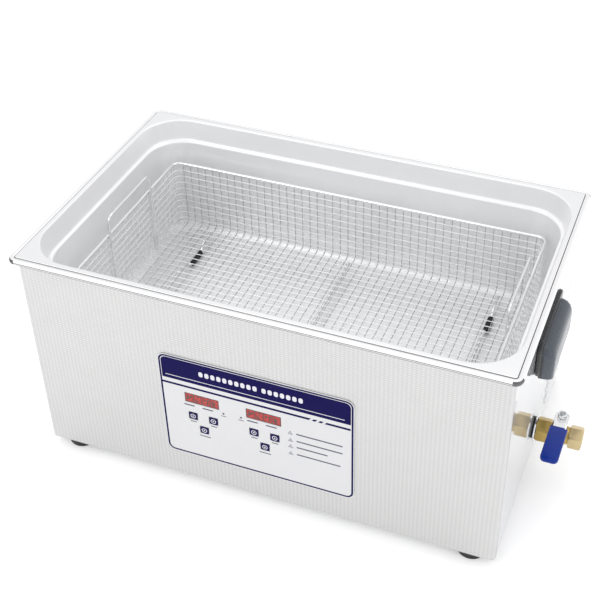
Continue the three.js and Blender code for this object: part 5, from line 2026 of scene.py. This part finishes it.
@dataclass
class Studio:
    """The pale floor, the soft light and the camera."""

    place: Point = (0.3605, -0.92145, 0.96602)
    azimuth: float = 20.718
    elevation: float = 37.353
    roll: float = -0.278
    lens: float = 70.007
    shift: Pair = (-0.0612, -0.0528)
    sensor: float = 36.0
    floor_size: float = 14.0
    floor_glow: float = 0.22
    sky: float = 1.0
    ground: float = 0.95
    ceiling: Point = (1.04, 1.04, 1.05)
    walls: tuple[Pair, ...] = ((0.3, 0.85), (0.55, 0.95))  # height share, brightness

    def camera(self) -> None:
        """Sets the camera on its heading, with a small roll."""
        turn = math.radians(self.azimuth)
        tilt = math.radians(self.elevation)
        ahead = Vector((-math.sin(turn) * math.cos(tilt), math.cos(turn) * math.cos(tilt), -math.sin(tilt)))
        right = Vector((math.cos(turn), math.sin(turn), 0))
        up = right.cross(ahead)
        lean = math.radians(self.roll)
        right_leaned = right * math.cos(lean) + up * math.sin(lean)
        up_leaned = up * math.cos(lean) - right * math.sin(lean)
        data = bpy.data.cameras.new("camera")
        data.lens = self.lens
        data.sensor_width = self.sensor
        data.shift_x, data.shift_y = self.shift
        camera = bpy.data.objects.new("camera", data)
        columns = Matrix((right_leaned, up_leaned, -ahead)).transposed()
        camera.matrix_world = Matrix.Translation(self.place) @ columns.to_4x4()
        bpy.context.scene.collection.objects.link(camera)
        bpy.context.scene.camera = camera

    def floor(self) -> None:
        """Lays a wide pale floor under the feet."""
        half = self.floor_size / 2
        bm = bmesh.new()
        corners = [bm.verts.new((x * half, y * half, 0)) for x, y in ((-1, -1), (1, -1), (1, 1), (-1, 1))]
        bm.faces.new(corners)
        mesh = bpy.data.meshes.new("floor")
        bm.to_mesh(mesh)
        bm.free()
        floor = bpy.data.objects.new("floor", mesh)
        graph = Graph("floor_look")
        tone = graph.shades(graph.noise(3.0), (0.93, 0.93, 0.93), (0.96, 0.96, 0.96))
        graph.link(tone, graph.shader.inputs["Base Color"])
        graph.shader.inputs["Roughness"].default_value = 0.9
        graph.shader.inputs["Emission Color"].default_value = (1, 1, 1, 1)
        graph.shader.inputs["Emission Strength"].default_value = self.floor_glow
        mesh.materials.append(graph.material)
        bpy.context.scene.collection.objects.link(floor)

    def surroundings(self) -> None:
        """Fills the room with light that fades softly from ceiling to floor."""
        world = bpy.data.worlds.new("studio")
        bpy.context.scene.world = world
        world.use_nodes = True
        tree = world.node_tree
        tree.nodes.clear()
        output = tree.nodes.new("ShaderNodeOutputWorld")
        background = tree.nodes.new("ShaderNodeBackground")
        ramp = tree.nodes.new("ShaderNodeValToRGB")
        split = tree.nodes.new("ShaderNodeSeparateXYZ")
        coords = tree.nodes.new("ShaderNodeTexCoord")
        tree.links.new(coords.outputs["Generated"], split.inputs[0])
        tree.links.new(split.outputs["Z"], ramp.inputs["Fac"])
        tree.links.new(ramp.outputs["Color"], background.inputs["Color"])
        tree.links.new(background.outputs["Background"], output.inputs["Surface"])
        stops = ramp.color_ramp
        stops.elements[0].position = 0.0
        stops.elements[0].color = (self.ground, self.ground, self.ground, 1)
        stops.elements[1].position = 1.0
        stops.elements[1].color = (*self.ceiling, 1)
        for where, level in self.walls:
            stop = stops.elements.new(where)
            stop.color = (level, level, level * 1.01, 1)
        background.inputs["Strength"].default_value = self.sky

    def build(self) -> None:
        """Sets up the whole studio."""
        bpy.context.scene.view_settings.view_transform = "Standard"
        self.camera()
        self.floor()
        self.surroundings()
        Softbox("key_light", (-1.1, -1.6, 2.0), (1.6, 1.2), 10.0).build()
        Softbox("top_light", (0.2, 0.9, 2.2), (2.4, 1.0), 6.0).build()
        Softbox("side_light", (2.0, -0.3, 1.0), (0.9, 1.4), 2.5).build()


def main() -> None:
    """Builds the cleaner, sub-assembly by sub-assembly, and the studio around it."""
    logging.basicConfig(level=logging.INFO, format="%(name)s: %(message)s")
    shop = Workshop()
    for assembly in (Tank(), Housing(), ControlPanel(), SideHandles(), DrainValve(), Basket(), InnerParts()):
        LOG.info("building %s", type(assembly).__name__)
        assembly.build(shop)
    Studio().build()


if __name__ == "__main__":
    main()
